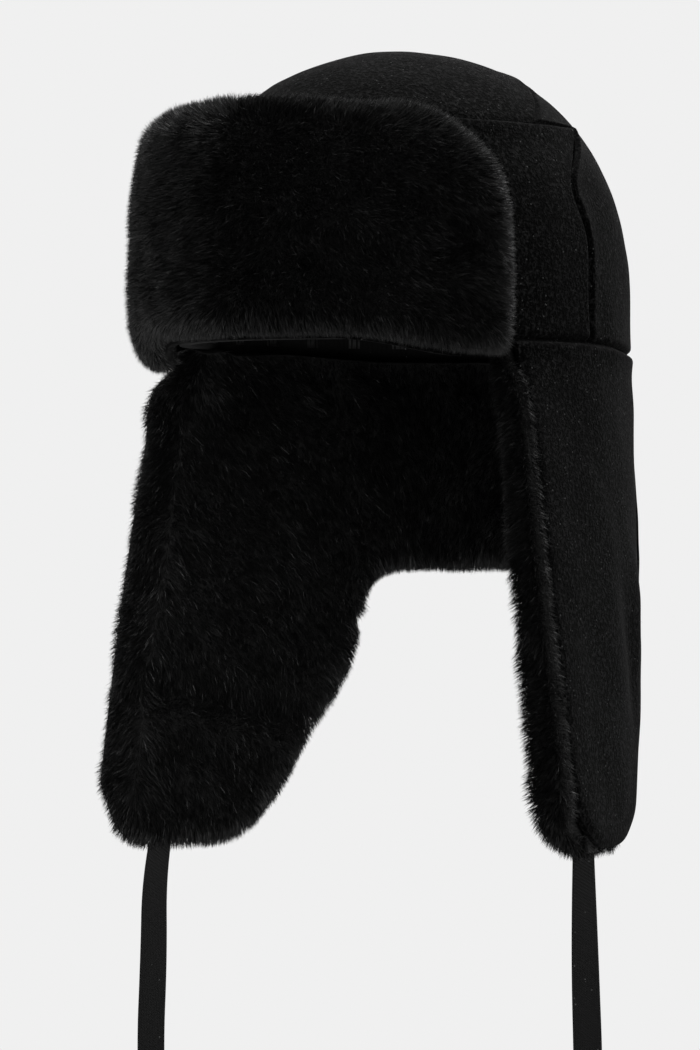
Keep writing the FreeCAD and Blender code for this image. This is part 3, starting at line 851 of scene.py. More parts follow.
# %% Side panels
for side, sign in SIDES.items():
    height = (crowded_ends(90) * SHOULDER)[:, None]
    y = BROW_SEAM_Y + (side_seam(height) - BROW_SEAM_Y) * crowded_ends(80)[None, :]
    grid = np.stack(np.broadcast_arrays(sign * crown_side(y, height), y, height), axis=-1)
    grid = seat_low_edge(grid)
    from_flap, to_shoulder = run_lengths(grid, 0)
    from_brow, to_back = run_lengths(grid, 1)
    offset = (seam_dip(to_shoulder, 0.5 * MM, 2.8 * MM, 1.8 * MM) + seam_dip(to_back, 1.3 * MM)
              + seam_dip(from_brow, 1.3 * MM) + seam_dip(from_flap, 1.8 * MM, 0.4 * MM, 1.5 * MM))
    panel = wool_sheet(f"wool_side_panel_{side}", grid, offset, [f"side_panel_{side}"], 13 + sign)
    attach(panel, "crown")

# %% [markdown]
# ### Inside the crown
# Under the wool lie a thin wadding, a quilted satin lining and a ribbed band that touches the
# head. The wadding is hidden, but it is a piece of the hat all the same.

# %% Lining and wadding
def round_ring(columns):
    """Angles once round a ring, without the last, which is the first again."""
    return np.linspace(0, 2 * math.pi, columns, endpoint=False)[None, :]


def dome_grid(inset, low, rows, columns, puff=None):
    """The whole crown moved in: an oval at each height from low to the top, closed at the pole."""
    start = math.asin((low / (CROWN_TALL - inset)) ** (FULLNESS / 2))
    angle = start + (math.pi / 2 - start) * np.linspace(0, 1, rows)[:, None]
    turn = round_ring(columns)
    out = -inset + (puff(turn, angle) if puff else 0)
    cos, sin = np.cos(angle), np.sin(angle) ** (2 / FULLNESS)
    x = (HALF_WIDTH + out) * cos * np.cos(turn)
    y = (HALF_LENGTH + out) * cos * np.sin(turn)
    return np.stack(np.broadcast_arrays(x, y, (CROWN_TALL + out) * sin), axis=-1)


def quilting(turn, angle):
    """Puffed diamonds between two families of crossing stitch lines: minus the puff's height times
    the root of the product of two sines, whose angles are 14 times (turn + angle) and
    (turn - angle)."""
    first, second = np.sin(turn * 14 + angle * 14), np.sin(turn * 14 - angle * 14)
    return -np.sqrt(np.abs(first * second)) * 1.6 * MM


def flat_quilting(turn, angle):
    """The quilting's outer side, which lies against the wadding."""
    return quilting(turn, angle) * 0.2


def closed_piece(name, front, back, material, slot, nodes, wrap=False):
    """A closed shell between two grids that wears one material."""
    points, faces = shell(front, back, wrap)
    return new_piece(name, new_mesh(name, points, faces, tidy=True), material, slot, *nodes)


wadding = closed_piece("crown_padding", dome_grid(2.9 * MM, 6 * MM, 40, 96),
                       dome_grid(5.2 * MM, 6 * MM, 40, 96), WADDING, "wadding",
                       ["crown_wadding"], wrap=True)
lining = closed_piece("quilted_lining", dome_grid(5.7 * MM, 2 * MM, 150, 300, flat_quilting),
                      dome_grid(6.6 * MM, 2 * MM, 150, 300, quilting), SATIN, "lining_satin",
                      ["crown_lining"], wrap=True)
for piece, fill in ((wadding, 0.5), (lining, 0.4)):
    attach(piece, "crown")

# %% Sweatband
BAND_TOP, BAND_LOW, BAND_TURN_IN = 32 * MM, -1 * MM, 4.6 * MM


def band_grid(inset, swell):
    """A ring inside the crown; swell moves it in, by the share of its height and by the turn. Its
    lower edge follows the sag of the seam."""
    share = np.linspace(0, 1, 30)[:, None]
    turn = round_ring(1100)
    out = -inset - swell(share, turn)
    x, y = (HALF_WIDTH + out) * np.cos(turn), (HALF_LENGTH + out) * np.sin(turn)
    height = BAND_LOW + (BAND_TOP - BAND_LOW) * share
    return np.stack(np.broadcast_arrays(x, y, height - seam_sag(y) * (1 - share) ** 2), axis=-1)


def ribbed(share, turn):
    """Fine upright ribs, and a rounded edge along the top and bottom."""
    return (0.12 * MM * np.sin(turn * 260) * step(share, 0, 0.1) * step(1 - share, 0, 0.1)
            + 0.5 * MM * np.sqrt(np.clip(1 - (2 * share - 1) ** 8, 0, 1)))


def turned_in(share, turn):
    """The band's outer side, whose lowest rows are turned out under the lining."""
    return 0 * turn - BAND_TURN_IN * (share < 0.05)


band = closed_piece("sweatband_ribbon", band_grid(7.6 * MM, ribbed), band_grid(7.2 * MM, turned_in),
                    BAND_TAPE, "sweatband_tape", ["sweatband"], wrap=True)
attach(band, "crown")
print("crown insides made")

# %% [markdown]
# ## Fur
# Plush fur is a knitted ground with a dense pile of cut hairs. Drawn as a texture, it would end
# in a hard edge against the pale background, so the hairs are real: each is a blade of three
# faces that is rooted in a dark, softly lumpy underfur, leans with the lay of the pile, and is
# drawn at its tip towards the middle of its tuft. Blender's own hair could do this too, but it
# isn't a mesh, and the model has to be one.

# %% Places for hairs
def tuft_noise(row, column, salt):
    """A number from 0 to 1 for each tuft: the fraction of a large sine."""
    value = np.sin(row * 12.9898 + column * 78.233 + salt * 37.719) * 43758.5453
    return value - np.floor(value)


def scattered(grid, count, rng, where):
    """Random places on a grid, as many on each cell as its area times where asks for: cell row and
    column, and the share along and across it."""
    area = cell_areas(grid) * where[:-1, :-1]
    cell = rng.choice(area.size, count, p=(area / area.sum()).ravel())
    return (*np.divmod(cell, area.shape[1]), rng.random(count), rng.random(count))


def at(values, spots):
    """A grid's values at scattered places, mixed from the four corners of each cell."""
    row, column, down, across = spots
    if values.ndim == 3:
        down, across = down[:, None], across[:, None]
    upper = values[row, column] * (1 - across) + values[row, column + 1] * across
    lower = values[row + 1, column] * (1 - across) + values[row + 1, column + 1] * across
    return upper * (1 - down) + lower * down


# %% Hairs
# the last of these is the share of hairs that carry a painted glint
TUFT, TUG, ROOT_DEPTH, GLINT_HAIR_SHARE = 2.6 * MM, 0.3, 1 * MM, 0.03
FUR_SHARE = 1.0
HAIR_WIDTH = 0.34 * MM / math.sqrt(FUR_SHARE)


def hairs(grid, normals, lay, length, where, count, seed, stand=0.95, lean=0.5):
    """Blades rooted at random on a grid. The lower half points along the normal plus a little of
    the lay, and the upper half along stand times the normal plus lean times the lay. Both sway
    and have a random part, and the upper half is drawn to the tuft's middle."""
    rng = np.random.default_rng(seed)
    spots = scattered(grid, count, rng, where)
    root, up = at(grid, spots), unit(at(normals, spots))
    flow, tall = at(lay, spots), at(length, spots)
    down_way = unit(at(np.gradient(grid, axis=0), spots))
    side_way = unit(np.cross(up, down_way))
    down_run, side_run = (at(run_lengths(grid, axis)[0], spots) for axis in (0, 1))
    warp = ripple(root, 12 * MM, seed + 5) * 1.5 * MM
    row, column = np.floor((down_run + warp) / TUFT), np.floor((side_run - warp) / TUFT)
    pull_down = (row + tuft_noise(row, column, 1)) * TUFT - down_run - warp
    pull_side = (column + tuft_noise(row, column, 2)) * TUFT - side_run + warp
    pull = pull_down[:, None] * down_way + pull_side[:, None] * side_way
    pull = pull / np.maximum(tall, 0.1 * MM)[:, None]
    sway = (down_way * ripple(root, 22 * MM, seed + 7)[:, None] * 0.28
            + side_way * ripple(root, 18 * MM, seed + 9)[:, None] * 0.34)
    loose = rng.normal(size=(count, 3))
    first = unit(up + flow * 0.3 + sway * 0.5 + loose * 0.12)
    second = unit(up * stand + flow * lean + sway + pull * TUG + loose * 0.24)
    tall = tall * rng.uniform(0.8, 1.04, count) * (0.95 + 0.08 * tuft_noise(row, column, 3))
    root = root - up * ROOT_DEPTH
    middle = root + first * (tall * 0.52)[:, None]
    tip = middle + second * (tall * 0.5)[:, None]
    half_width = HAIR_WIDTH * rng.uniform(0.75, 1.15, count) / 2
    broad = unit(np.cross(first, loose + up * 0.2)) * half_width[:, None]
    upper = broad * 0.85
    points = np.stack([root - broad, root + broad, middle - upper, middle + upper, tip], axis=1)
    start = np.arange(count)[:, None] * 5
    quads, tips = start + np.array([0, 1, 3, 2]), start + np.array([2, 3, 4])
    tone_and_glint = np.clip(0.6 * rng.random(count) + 0.4 * tuft_noise(row, column, 4), 0, 0.97)
    # each hair's tone differs at random, and a few hairs get the tone 1.0, which the fur finish
    # paints as a glint towards the tip
    tone_and_glint = np.where(rng.random(count) < GLINT_HAIR_SHARE, 1.0, tone_and_glint)
    # the height up each hair, from which the fur finish paints the root darker as painted shade
    uv = np.stack(np.broadcast_arrays(tone_and_glint[:, None], np.array([0.2, 0.2, 0.6, 0.6, 1.0])), axis=-1)
    return points.reshape(-1, 3), [quads, tips], uv.reshape(-1, 2)


# %% Hairs that turn over an edge
ROLL_REACH, ROLL_MOST = 11 * MM, math.radians(97)
LIP_REACH, LIP_MORE = 2 * MM, math.radians(50)


def way_out(grid, edge):
    """The way out of a free edge, in the cloth: minus the slope of the distance to that edge."""
    down, across = np.gradient(grid, axis=0), np.gradient(grid, axis=1)
    drop, cross = np.gradient(edge, axis=0), np.gradient(edge, axis=1)
    square, mixed, wide = ((down * down).sum(-1), (down * across).sum(-1),
                           (across * across).sum(-1))
    whole = np.maximum(square * wide - mixed**2, 1e-18)
    return -unit(((drop * wide - cross * mixed) / whole)[..., None] * down
                 + ((cross * square - drop * mixed) / whole)[..., None] * across)


def roll_over(grid, normals, edge):
    """Hair directions that turn from the normal to the way out of a free edge as the edge comes
    near, and further over the very lip of a front edge."""
    front_part = 1 - step(grid[..., 1], -10 * MM, 20 * MM)
    lip = LIP_MORE * np.clip(1 - edge / LIP_REACH, 0, 1) * front_part
    angle = (ROLL_MOST * (1 - np.clip(edge / ROLL_REACH, 0, 1)) ** 1.2 + lip)[..., None]
    return unit(normals * np.cos(angle) + way_out(grid, edge) * np.sin(angle))


def rounded(edge, reach):
    """From 0 at the edge to 1 at the reach, as a quarter circle."""
    return np.sqrt(np.clip(1 - (1 - np.clip(edge / reach, 0, 1)) ** 2, 0, 1))


# %% Fur pieces
UNDERFUR, THINNEST = 0.66, 0.05 * MM
# The underfur's height on the UV map lies below the hairs' roots, so the fur finish paints it with
# the darkest root colour, as painted shade deep in the pile.
UNDERFUR_SHADE_UV = (0.3, 0.05)


def fur_piece(name, front, back, seed, stands_for, count, **growth):
    """Underfur, closed between two grids, with hairs on its front that grow as given."""
    points, faces = shell(front, back)
    blades, blade_faces, uv = hairs(front, seed=seed, count=int(count * FUR_SHARE), **growth)
    faces = faces + [part + len(points) for part in blade_faces]
    uv = np.concatenate([np.tile(UNDERFUR_SHADE_UV, (len(points), 1)), uv])
    mesh = new_mesh(name, np.concatenate([points, blades]), faces, uv)
    piece = new_piece(name, mesh, FUR, "faux_fur", stands_for)
    print(name, "faces", len(mesh.polygons))
    return piece


# %% [markdown]
# ## Brim
# The brim is turned up and tacked to the crown at both ends. It is wool behind, then a stiff
# interlining, then fur in two mirrored halves. Their piles lean away from each other, so the
# halves catch the light differently and the seam between them shows as a change of tone. The
# outline is worked out on the unrolled brim, as run and height, and bent round the brow.

# %% The brim's outline and surface
BRIM_TOP, BRIM_LOW, BRIM_DROP, BRIM_CORNER = 97 * MM, -4 * MM, 7 * MM, 48 * MM
BRIM_END_Y, BRIM_DROP_Y = -62 * MM, -103 * MM
FRONT_RISE, LEAN_FROM, LEAN_MOST = 3.5 * MM, 50 * MM, 9 * MM


def brim_curve(out, end_y):
    """The brim's level curve for one side: run from the front's middle, and x and y there."""
    turn = np.linspace(0, math.acos(-end_y / (HALF_LENGTH + out)), 400)
    x, y = (HALF_WIDTH + out) * np.sin(turn), -(HALF_LENGTH + out) * np.cos(turn)
    return along_line(np.stack([x, y], axis=-1)), x, y


def brim_half(out, grow, longer, rows, columns, lift=0.0, drop=BRIM_DROP):
    """One side of the brim as run, height, x and y on a grid, and its outline. grow raises the top
    and lowers the bottom, and lift raises the bottom; the lower edge falls by drop towards the
    end; the upper corner is rounded; the top rises a little at the front's middle."""
    run, x, y = brim_curve(out, BRIM_END_Y + longer)
    along = crowded_ends(columns, 1.4) * run[-1]
    there_x, there_y = np.interp(along, run, x), np.interp(along, run, y)
    low = BRIM_LOW - grow + lift - drop * step(there_y, BRIM_DROP_Y, BRIM_END_Y)
    inside = np.maximum(along - (run[-1] - BRIM_CORNER), 0)
    corner = BRIM_CORNER - np.sqrt(np.maximum(BRIM_CORNER**2 - inside**2, 0))
    high = BRIM_TOP + grow - corner + FRONT_RISE * (1 - step(along, 0, 70 * MM))
    height = low + (high - low) * crowded_ends(rows, 1.4)[:, None]
    outline = np.concatenate([np.stack([along, low], -1), np.stack([along, high], -1)[::-1]])
    return (*np.broadcast_arrays(along, height, there_x, there_y), outline)


def lean_in(grid):
    """The upper part of the brim leans in, by the square of its height over 50 mm."""
    share = np.clip((grid[..., 2] - LEAN_FROM) / (50 * MM), 0, 1.2)
    return grid - unit(grid * (1, 1, 0)) * (share**2 * LEAN_MOST)[..., None]


# %% Brim fur
PILE_TALL, BRIM_HAIR = 13.5 * MM, 8.2 * MM
TACK_Y, TACK_HEIGHT = -66 * MM, 38 * MM
FAR_DROP = {1: 0, -1: 4 * MM}


def brim_fur(side, sign):
    """One half of the brim's fur: a rounded slab of underfur, with hairs on its face and rims. The
    thickness is the pile's times a quarter circle in from the edge, with a dip at the seam, a
    hollow at the tack and a swell at the end. The lay runs away from the middle and down."""
    run, height, x, y, outline = brim_half(5.3 * MM, -3 * MM, 14 * MM, 74, 84, 4 * MM,
                                           BRIM_DROP + FAR_DROP[sign])
    base = lean_in(np.stack([sign * x, y, height], axis=-1))
    edge, to_end = to_outline(run, height, outline), run.max() - run
    tack = bell(y - TACK_Y, 8 * MM) * bell(height - TACK_HEIGHT, 9 * MM)
    lumps = ripple(base, 50 * MM, 41) * 0.9 * MM + ripple(base, 20 * MM, 42) * 0.5 * MM
    soft = rounded(edge, 8 * MM + 10 * MM * step(height, 45 * MM, 85 * MM))
    thick = (PILE_TALL * UNDERFUR + lumps) * soft * (1 - 0.12 * bell(run, 3 * MM))
    thick += 1.2 * MM * bell(to_end - 9 * MM, 8 * MM) - 4.5 * MM * tack
    tuck = 1.6 * MM * (1 - rounded(edge, 6 * MM)) + 1.9 * MM * (1 - rounded(to_end, 9 * MM))
    normals = outward_normals(base)
    base = base - normals * tuck[..., None]
    front = base + normals * np.maximum(thick, THINNEST)[..., None]
    away = np.stack([sign * np.gradient(x, axis=1), np.gradient(y, axis=1), 0 * x], axis=-1)
    fall = 0.75 * (1 - step(height, 70 * MM, 95 * MM)) + ripple(base, 30 * MM, 45) * 0.25
    lay = unit(unit(away) * 0.62 - fall[..., None] * (0, 0, 1))
    length = (BRIM_HAIR * (1 - 0.3 * tack) * (1 + 0.06 * ripple(base, 30 * MM, 46))
              * (0.78 + 0.22 * rounded(edge, 12 * MM)))
    return fur_piece(f"fur_brim_{side}", front, base, 100 + sign, f"brim_fur_{side}", 57500,
                     normals=roll_over(base, outward_normals(front), edge), lay=lay,
                     length=length, where=1 + 1.6 * bell(edge, 5 * MM))


for side, sign in SIDES.items():
    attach(brim_fur(side, sign), "crown")


# %% Brim wool and interlining
def whole_brim(out, grow, longer, rows, columns):
    """The whole brim's grid, from the right end round the front to the left end."""
    _, height, x, y, _ = brim_half(out, grow, longer, rows, columns)
    left = np.stack([x, y, height], axis=-1)
    return lean_in(np.concatenate([left[:, :0:-1] * (-1, 1, 1), left], axis=1))


grid = whole_brim(2 * MM, -3 * MM, 0, 50, 90)
wool_back = wool_sheet("wool_brim_back", grid, 1.2 * MM, ["brim_backing"], 17)
inner, outer = (whole_brim(out, -8 * MM, -8 * MM, 30, 60) for out in (3.6 * MM, 4.9 * MM))
stiffener = closed_piece("brim_stiffener", outer, inner, INTERLINING, "interlining",
                         ["brim_interlining"])
for piece in (wool_back, stiffener):
    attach(piece, "crown")
print("brim made")

# %% [markdown]
# ## Ear flaps
# An ear flap is wool outside, thin wadding, and fur inside that shows all round the wool's edge.
# The wool is a patch stretched between its four edges, which are read from the flap's rounded
# outline: each point is the mix of the front and rear edges plus the mix of the top and bottom
# edges, less the mix of the corners. The flap hinges on its seam with the crown.

# %% Flap outlines
WOOL_OUTLINE = ([(-36, 0), (-46.5, 112), (-46, 212), (18, 212), (62, 133), (62, 0)],
                [180, 31, 38, 60])
PAD_OUTLINE = ([(-22, 0), (-32, 112), (-32, 201), (11, 201), (62, 119), (62, 0)],
               [90, 18, 18, 18])
FUR_OUTLINES = {
    1: ([(-41, 0), (-51, 112), (-52, 212), (19, 210), (63, 135), (62, 0)], [180, 25, 38, 60]),
    -1: ([(-53, 0), (-51, 112), (-52, 218), (19, 216), (63, 135), (62, 0)], [180, 25, 38, 60]),
}
JOINED_TO = 121 * MM


def flap_patch(corners, radii, rows, columns):
    """A grid of side-view places (y, depth) that fills a rounded outline, and that outline. It is
    cut in four at the outline's points nearest to its two low corners."""
    corners = np.array(corners) * MM
    path = rounded_path(corners, np.array(radii) * MM)
    far = along_line(path) / along_line(path)[-1]
    first, second = (far[np.argmin(np.linalg.norm(path - corners[i], axis=1))] for i in (2, 3))
    u, v = crowded_ends(columns, 1.5), crowded_ends(rows, 1.5)
    front = along_path(path, v * first)[:, None]
    low = along_path(path, first + u * (second - first))[None, :]
    rear = along_path(path, 1 - v * (1 - second))[:, None]
    top = (path[0] + (path[-1] - path[0]) * u[:, None])[None, :]
    u, v = u[None, :, None], v[:, None, None]
    corner_mix = ((1 - u) * (1 - v) * path[0] + u * (1 - v) * path[-1]
                  + (1 - u) * v * front[-1] + u * v * rear[-1])
    places = (1 - v) * top + v * low + (1 - u) * front + u * rear - corner_mix
    return places[..., 0], places[..., 1], path


def free_edge(y, depth, path):
    """Distance to the flap's free edge: its outline without the top and the side that joins the
    neck flap."""
    joined = (path[:, 0] > 61.9 * MM) & (path[:, 1] < JOINED_TO)
    return to_outline(y, depth, path[~joined])


def fold_with(piece):
    """Bakes the piece's transform into its mesh. The piece is not bent at the seam."""
    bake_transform(piece)


# %% Flap wool
def ridge(y, middle, width, depth, starts, ends):
    """An upright fold: a bell across, which comes in below one depth and goes out at another."""
    fade = 1 - step(depth, *ends) if ends else 1
    return bell(y - middle, width) * step(depth, *starts) * fade


def hem_dips(edge, depth):
    """Where a flap's wool dips in: at its stitched free edge, and deeper at the crown's seam."""
    return (seam_dip(edge, 0.8 * MM, 0.2 * MM, 2.5 * MM)
            + seam_dip(depth, 1.9 * MM, 1.6 * MM, 1.5 * MM))


def flap_wool(side, sign):
    """The outside of an ear flap, with two soft upright ridges and a valley between them."""
    y, depth, path = flap_patch(*WOOL_OUTLINE, 130, 84)
    edge = free_edge(y, depth, path)
    slant = (depth - 120 * MM) * 0.15
    rear = ridge(y, 47 * MM, 8 * MM, depth, (75 * MM, 120 * MM), (140 * MM, 190 * MM))
    valley = ridge(y - slant, 30 * MM, 9 * MM, depth, (60 * MM, 130 * MM), (150 * MM, 200 * MM))
    middle = ridge(y, 8 * MM, 16 * MM, depth, (50 * MM, 150 * MM), None)
    folds = (2.2 * rear - 1.8 * valley + middle) * MM * step(edge, 4 * MM, 20 * MM)
    offset = hem_dips(edge, depth) + folds
    return wool_sheet(f"wool_ear_flap_{side}", on_flap(y, depth, sign), offset,
                      [f"ear_flap_wool_{side}"], 21 + sign)


for side, sign in SIDES.items():
    fold_with(flap_wool(side, sign))

# %% Pads and pile of the flaps
PAD_AT, FUR_AT = 2.75 * MM, 4.9 * MM
FLAP_PILE, FLAP_HAIR = 14 * MM, 8.4 * MM


def inward(grid):
    """Normals that face the head."""
    return -outward_normals(grid)


def pad_piece(name, grid, thick, stands_for):
    """Wadding of a given thickness on the inside of a flap's wool."""
    normals = inward(grid)
    front = grid + normals * (PAD_AT + thick)[..., None]
    piece = closed_piece(name, grid + normals * PAD_AT, front, WADDING, "wadding", [stands_for])
    return piece


def flap_pile(name, grid, normals, edge, wrap, lumps, lay, tall, count, seed, stands_for):
    """Fur on the inside of a flap. wrap moves its base out past the wool's edge, lumps are added
    to the underfur's thickness, and tall multiplies the hairs' length."""
    back = grid + normals * (FUR_AT - wrap)[..., None]
    thick = (FLAP_PILE * UNDERFUR + lumps) * rounded(edge, 8 * MM)
    front = back + normals * np.maximum(thick, THINNEST)[..., None]
    upright = grid_normals(front)
    upright = upright if (upright * normals).sum() > 0 else -upright
    length = FLAP_HAIR * tall * (0.85 + 0.15 * rounded(edge, 9 * MM))
    return fur_piece(name, front, back, seed, stands_for, count,
                     normals=roll_over(grid, upright, edge), lay=lay, length=length,
                     where=1 + 2 * bell(edge, 5 * MM), stand=0.8, lean=0.8)


# %% Flap fur
BROW_OUT, CREASE_DEEP, BULGE_SHARE = {1: 2 * MM, -1: 5.5 * MM}, {1: 4.5, -1: 6.5}, {1: 1.0, -1: 0.3}
CORNER_LIFT = {1: 0, -1: 2.2 * MM}


def flap_fur(side, sign):
    """Fur on the inside of an ear flap. Its base wraps round the wool's front edge. The top front
    corner stands out below the brim's end, a bulge follows the front edge, and a crease crosses
    the lower part."""
    y, depth, path = flap_patch(*FUR_OUTLINES[sign], 96, 66)
    edge = free_edge(y, depth, path)
    grid = on_flap(y, depth, sign)
    normals = inward(grid)
    brow = (1 - step(y, -47 * MM, -34 * MM)) * (1 - step(depth, 15 * MM, 50 * MM))
    corner = (1 - step(y, -36 * MM, -22 * MM)) * (1 - step(depth, 0, 12 * MM))
    grid[..., 0] += sign * BROW_OUT[sign] * brow
    grid[..., 2] += CORNER_LIFT[sign] * corner
    lumps = ripple(grid, 45 * MM, 51) * 1.3 * MM + ripple(grid, 20 * MM, 52) * 0.7 * MM
    crease = bell(depth - 156 * MM - y * 0.25, 8 * MM) * step(y, -55 * MM, -30 * MM)
    bulge = (1 + 2.6 * step(depth, 40 * MM, 100 * MM)) * bell(y + 43 * MM, 9 * MM)
    lumps += (bulge * BULGE_SHARE[sign] - crease * CREASE_DEEP[sign]) * MM
    wrap = ((1 - step(edge, 0.5 * MM, 4.5 * MM)) * (1 - step(depth, 190 * MM, 204 * MM))
            * step(depth, 4 * MM, 20 * MM) * (1 - step(y, -10 * MM, 20 * MM)))
    near = (1 - rounded(edge, 12 * MM))[..., None]
    lay = unit(np.array([0, -0.35, -0.9]) + way_out(grid, edge) * near * 0.25
               + ripple(grid, 35 * MM, 53)[..., None] * (0, 0.5, 0.15))
    tall = 1 + 0.07 * ripple(grid, 30 * MM, 54)
    tall = tall * np.maximum(0.55 + 0.45 * step(depth, 0, 12 * MM), brow)
    return flap_pile(f"fur_ear_flap_{side}", grid, normals, edge, 5.2 * MM * wrap, lumps, lay, tall,
                     57500, 200 + sign, f"ear_flap_fur_{side}")


for side, sign in SIDES.items():
    y, depth, path = flap_patch(*PAD_OUTLINE, 40, 24)
    thick = 1.6 * MM * np.sqrt(np.clip(free_edge(y, depth, path) / (6 * MM), 0, 1)) + 0.1 * MM
    pad = pad_piece(f"flap_padding_{side}", on_flap(y, depth, sign), thick,
                    f"ear_flap_wadding_{side}")
    for piece in (pad, flap_fur(side, sign)):
        fold_with(piece)

# %% [markdown]
# ## Neck flap
# Behind the neck the same three layers go on from one ear flap to the other, on the same cone.
# The lower edge curves down into the ear flaps with a hollow corner.

# %% Neck flap
NECK_LONG, NECK_START, HOLLOW = 92 * MM, 62.2 * MM, 25 * MM


def neck_places(rows, columns, shorter=0.0):
    """The neck flap's grid. Its side edges keep to the ear flaps' y at every depth, and its lower
    edge drops by a quarter circle beside them."""
    u = (crowded_ends(columns, 1.4) * 2 - 1)[None, :]
    v = crowded_ends(rows, 1.4)[:, None]
    beside = np.maximum(HOLLOW - (1 - np.abs(u)) * 112 * MM, 0)
    lowest = NECK_LONG - shorter + HOLLOW - np.sqrt(HOLLOW**2 - beside**2)
    depth = v * lowest
    share = depth / SKIRT_DEPTH
    half_length = HALF_LENGTH + FLARE_Y * share
    last = np.arccos((NECK_START + SKIRT_SHIFT * share) / half_length)
    x = (HALF_WIDTH + FLARE_X * share) * np.sin(u * last)
    y = half_length * np.cos(u * last) - SKIRT_SHIFT * share
    sag = seam_sag(y) * (1 - step(depth, 0, 0.05))
    return np.stack([x, y, -(depth + sag)], axis=-1), depth, lowest - depth


grid, depth, edge = neck_places(80, 120)
neck_wool = wool_sheet("wool_neck_flap", grid, hem_dips(edge, depth), ["neck_flap_wool"], 25)

grid, depth, edge = neck_places(24, 60, 14 * MM)
neck_pad = pad_piece("neck_padding", grid, np.full(depth.shape, 1.65 * MM), "neck_flap_wadding")

grid, depth, edge = neck_places(60, 100, -2 * MM)
wrap = 3.6 * MM * (1 - step(edge, 0.3 * MM, 4 * MM))
lumps = ripple(grid, 45 * MM, 61) * 0.9 * MM
lay = unit(np.array([0, 0, -1]) + ripple(grid, 35 * MM, 62)[..., None] * (0.4, 0, 0.1))
tall = (1 + 0.07 * ripple(grid, 30 * MM, 63)) * (0.55 + 0.45 * step(depth, 0, 12 * MM))
neck_fur = flap_pile("fur_neck_flap", grid, inward(grid), edge, wrap, lumps, lay, tall, 50000, 301,
                     "neck_flap_fur")
for piece in (neck_wool, neck_pad, neck_fur):
    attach(piece, "crown")
print("neck flap made")

# %% [markdown]
# ## Tabs and stitches
# A tie is sewn to a short tab of its own tape, which is caught between the wool and the fur. The
# brim's ends are held up by a few strong stitches through the crown. A stitch is a short bent
# tube with six sides and five rings, and the stitches of one tack are one mesh.

# %% Tabs
def tab(side, sign):
    """A short piece of tape that lies on the flap's wadding face, where the tie is sewn."""
    y = (np.linspace(-1, 1, 14) * 5.9 * MM + TIE_ROOT[1])[None, :]
    depth = (np.linspace(0, 11.8, 14) * MM + 201.5 * MM)[:, None]
    y, depth = np.broadcast_arrays(y, depth)
    grid = on_flap(y, depth, sign)
    normals = inward(grid)
    points, faces = shell(grid + normals * 4.4 * MM, grid + normals * 2.8 * MM)
    flat = np.stack([y - TIE_ROOT[1], depth], axis=-1).reshape(-1, 2)
    mesh = new_mesh(f"tie_tab_tape_{side}", points, faces, np.concatenate([flat, flat]), tidy=True)
    return new_piece(f"tie_tab_tape_{side}", mesh, TIE_TAPE, "tie_tape", f"tie_tab_{side}")


for side, sign in SIDES.items():
    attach(tab(side, sign), f"ear_flap_{side}")


# %% Stitches
def stitches(starts, ends, lift, radius=0.45 * MM, bow=0.3 * MM):
    """Tubes from start to end. The middle line is raised along lift by bow times a half sine, and
    each ring is a circle of the radius round it."""
    starts, ends, lift = (np.asarray(value, float) for value in (starts, ends, lift))
    part = np.linspace(0, 1, 5)[None, :, None]
    centre = starts[:, None] * (1 - part) + ends[:, None] * part
    centre = centre + lift[:, None] * (np.sin(part * math.pi) * bow - radius * 0.3)
    ahead = unit(ends - starts)
    side_way = unit(np.cross(ahead, lift))[:, None, None]
    up = unit(np.cross(np.cross(ahead, lift), ahead))[:, None, None]
    angle = np.linspace(0, 2 * math.pi, 6, endpoint=False)[None, None, :, None]
    taper = np.array([0.35, 0.95, 1.0, 0.95, 0.35])[None, :, None, None] * radius
    rings = centre[:, :, None] + (side_way * np.cos(angle) + up * np.sin(angle)) * taper
    count = len(starts)
    tube = grid_faces(5, 6, wrap=True)
    faces = (tube[None] + np.arange(count)[:, None, None] * 30).reshape(-1, 4)
    ends_cap = np.array([[5, 4, 3, 2, 1, 0], [24, 25, 26, 27, 28, 29]])
    caps = (ends_cap[None] + np.arange(count)[:, None, None] * 30).reshape(-1, 6)
    along = np.broadcast_to(part[..., None] * 3 * MM, rings.shape[:3] + (1,))
    round_uv = np.broadcast_to(angle * 0.2 * MM, rings.shape[:3] + (1,))
    return rings.reshape(-1, 3), [faces, caps], np.concatenate([round_uv, along], -1).reshape(-1, 2)


TACK_SEAM_Y, TACK_BRIM_AT = -63 * MM, 3.2 * MM


def brim_tack(side, sign):
    """Five strong stitches, one above the other, from the crown to the brim's end."""
    high = TACK_HEIGHT + np.linspace(-3.6, 3.6, 5) * MM
    y = np.full(5, TACK_SEAM_Y)
    brim_x = (HALF_WIDTH + TACK_BRIM_AT) * np.sqrt(1 - (y / (HALF_LENGTH + TACK_BRIM_AT)) ** 2)
    starts = np.stack([sign * (crown_side(y, high) - 0.5 * MM), y, high], axis=-1)
    ends = np.stack([sign * (brim_x + 0.2 * MM), y - 0.5 * MM, high + 0.3 * MM], axis=-1)
    points, faces, uv = stitches(starts, ends, np.tile([0, 1.0, 0], (5, 1)))
    name = f"tack_threads_{side}"
    return new_piece(name, new_mesh(name, points, faces, uv), THREAD, "thread", f"brim_tack_{side}")


for side, sign in SIDES.items():
    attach(brim_tack(side, sign), "crown")
print("stitches made")

# %% [markdown]
# ## Floor and light
# A pale floor lies just under the ties. The lamps are large and soft: one high in front on the
# left, one on the right, one overhead that edges the top of the fur with light, and a weak
# one behind. A very small one stands where a pale face would throw light on the inside of the
# right flap. The background is pale because the world is, for the camera's own rays, and the
# light on the hat stays at a plain level.

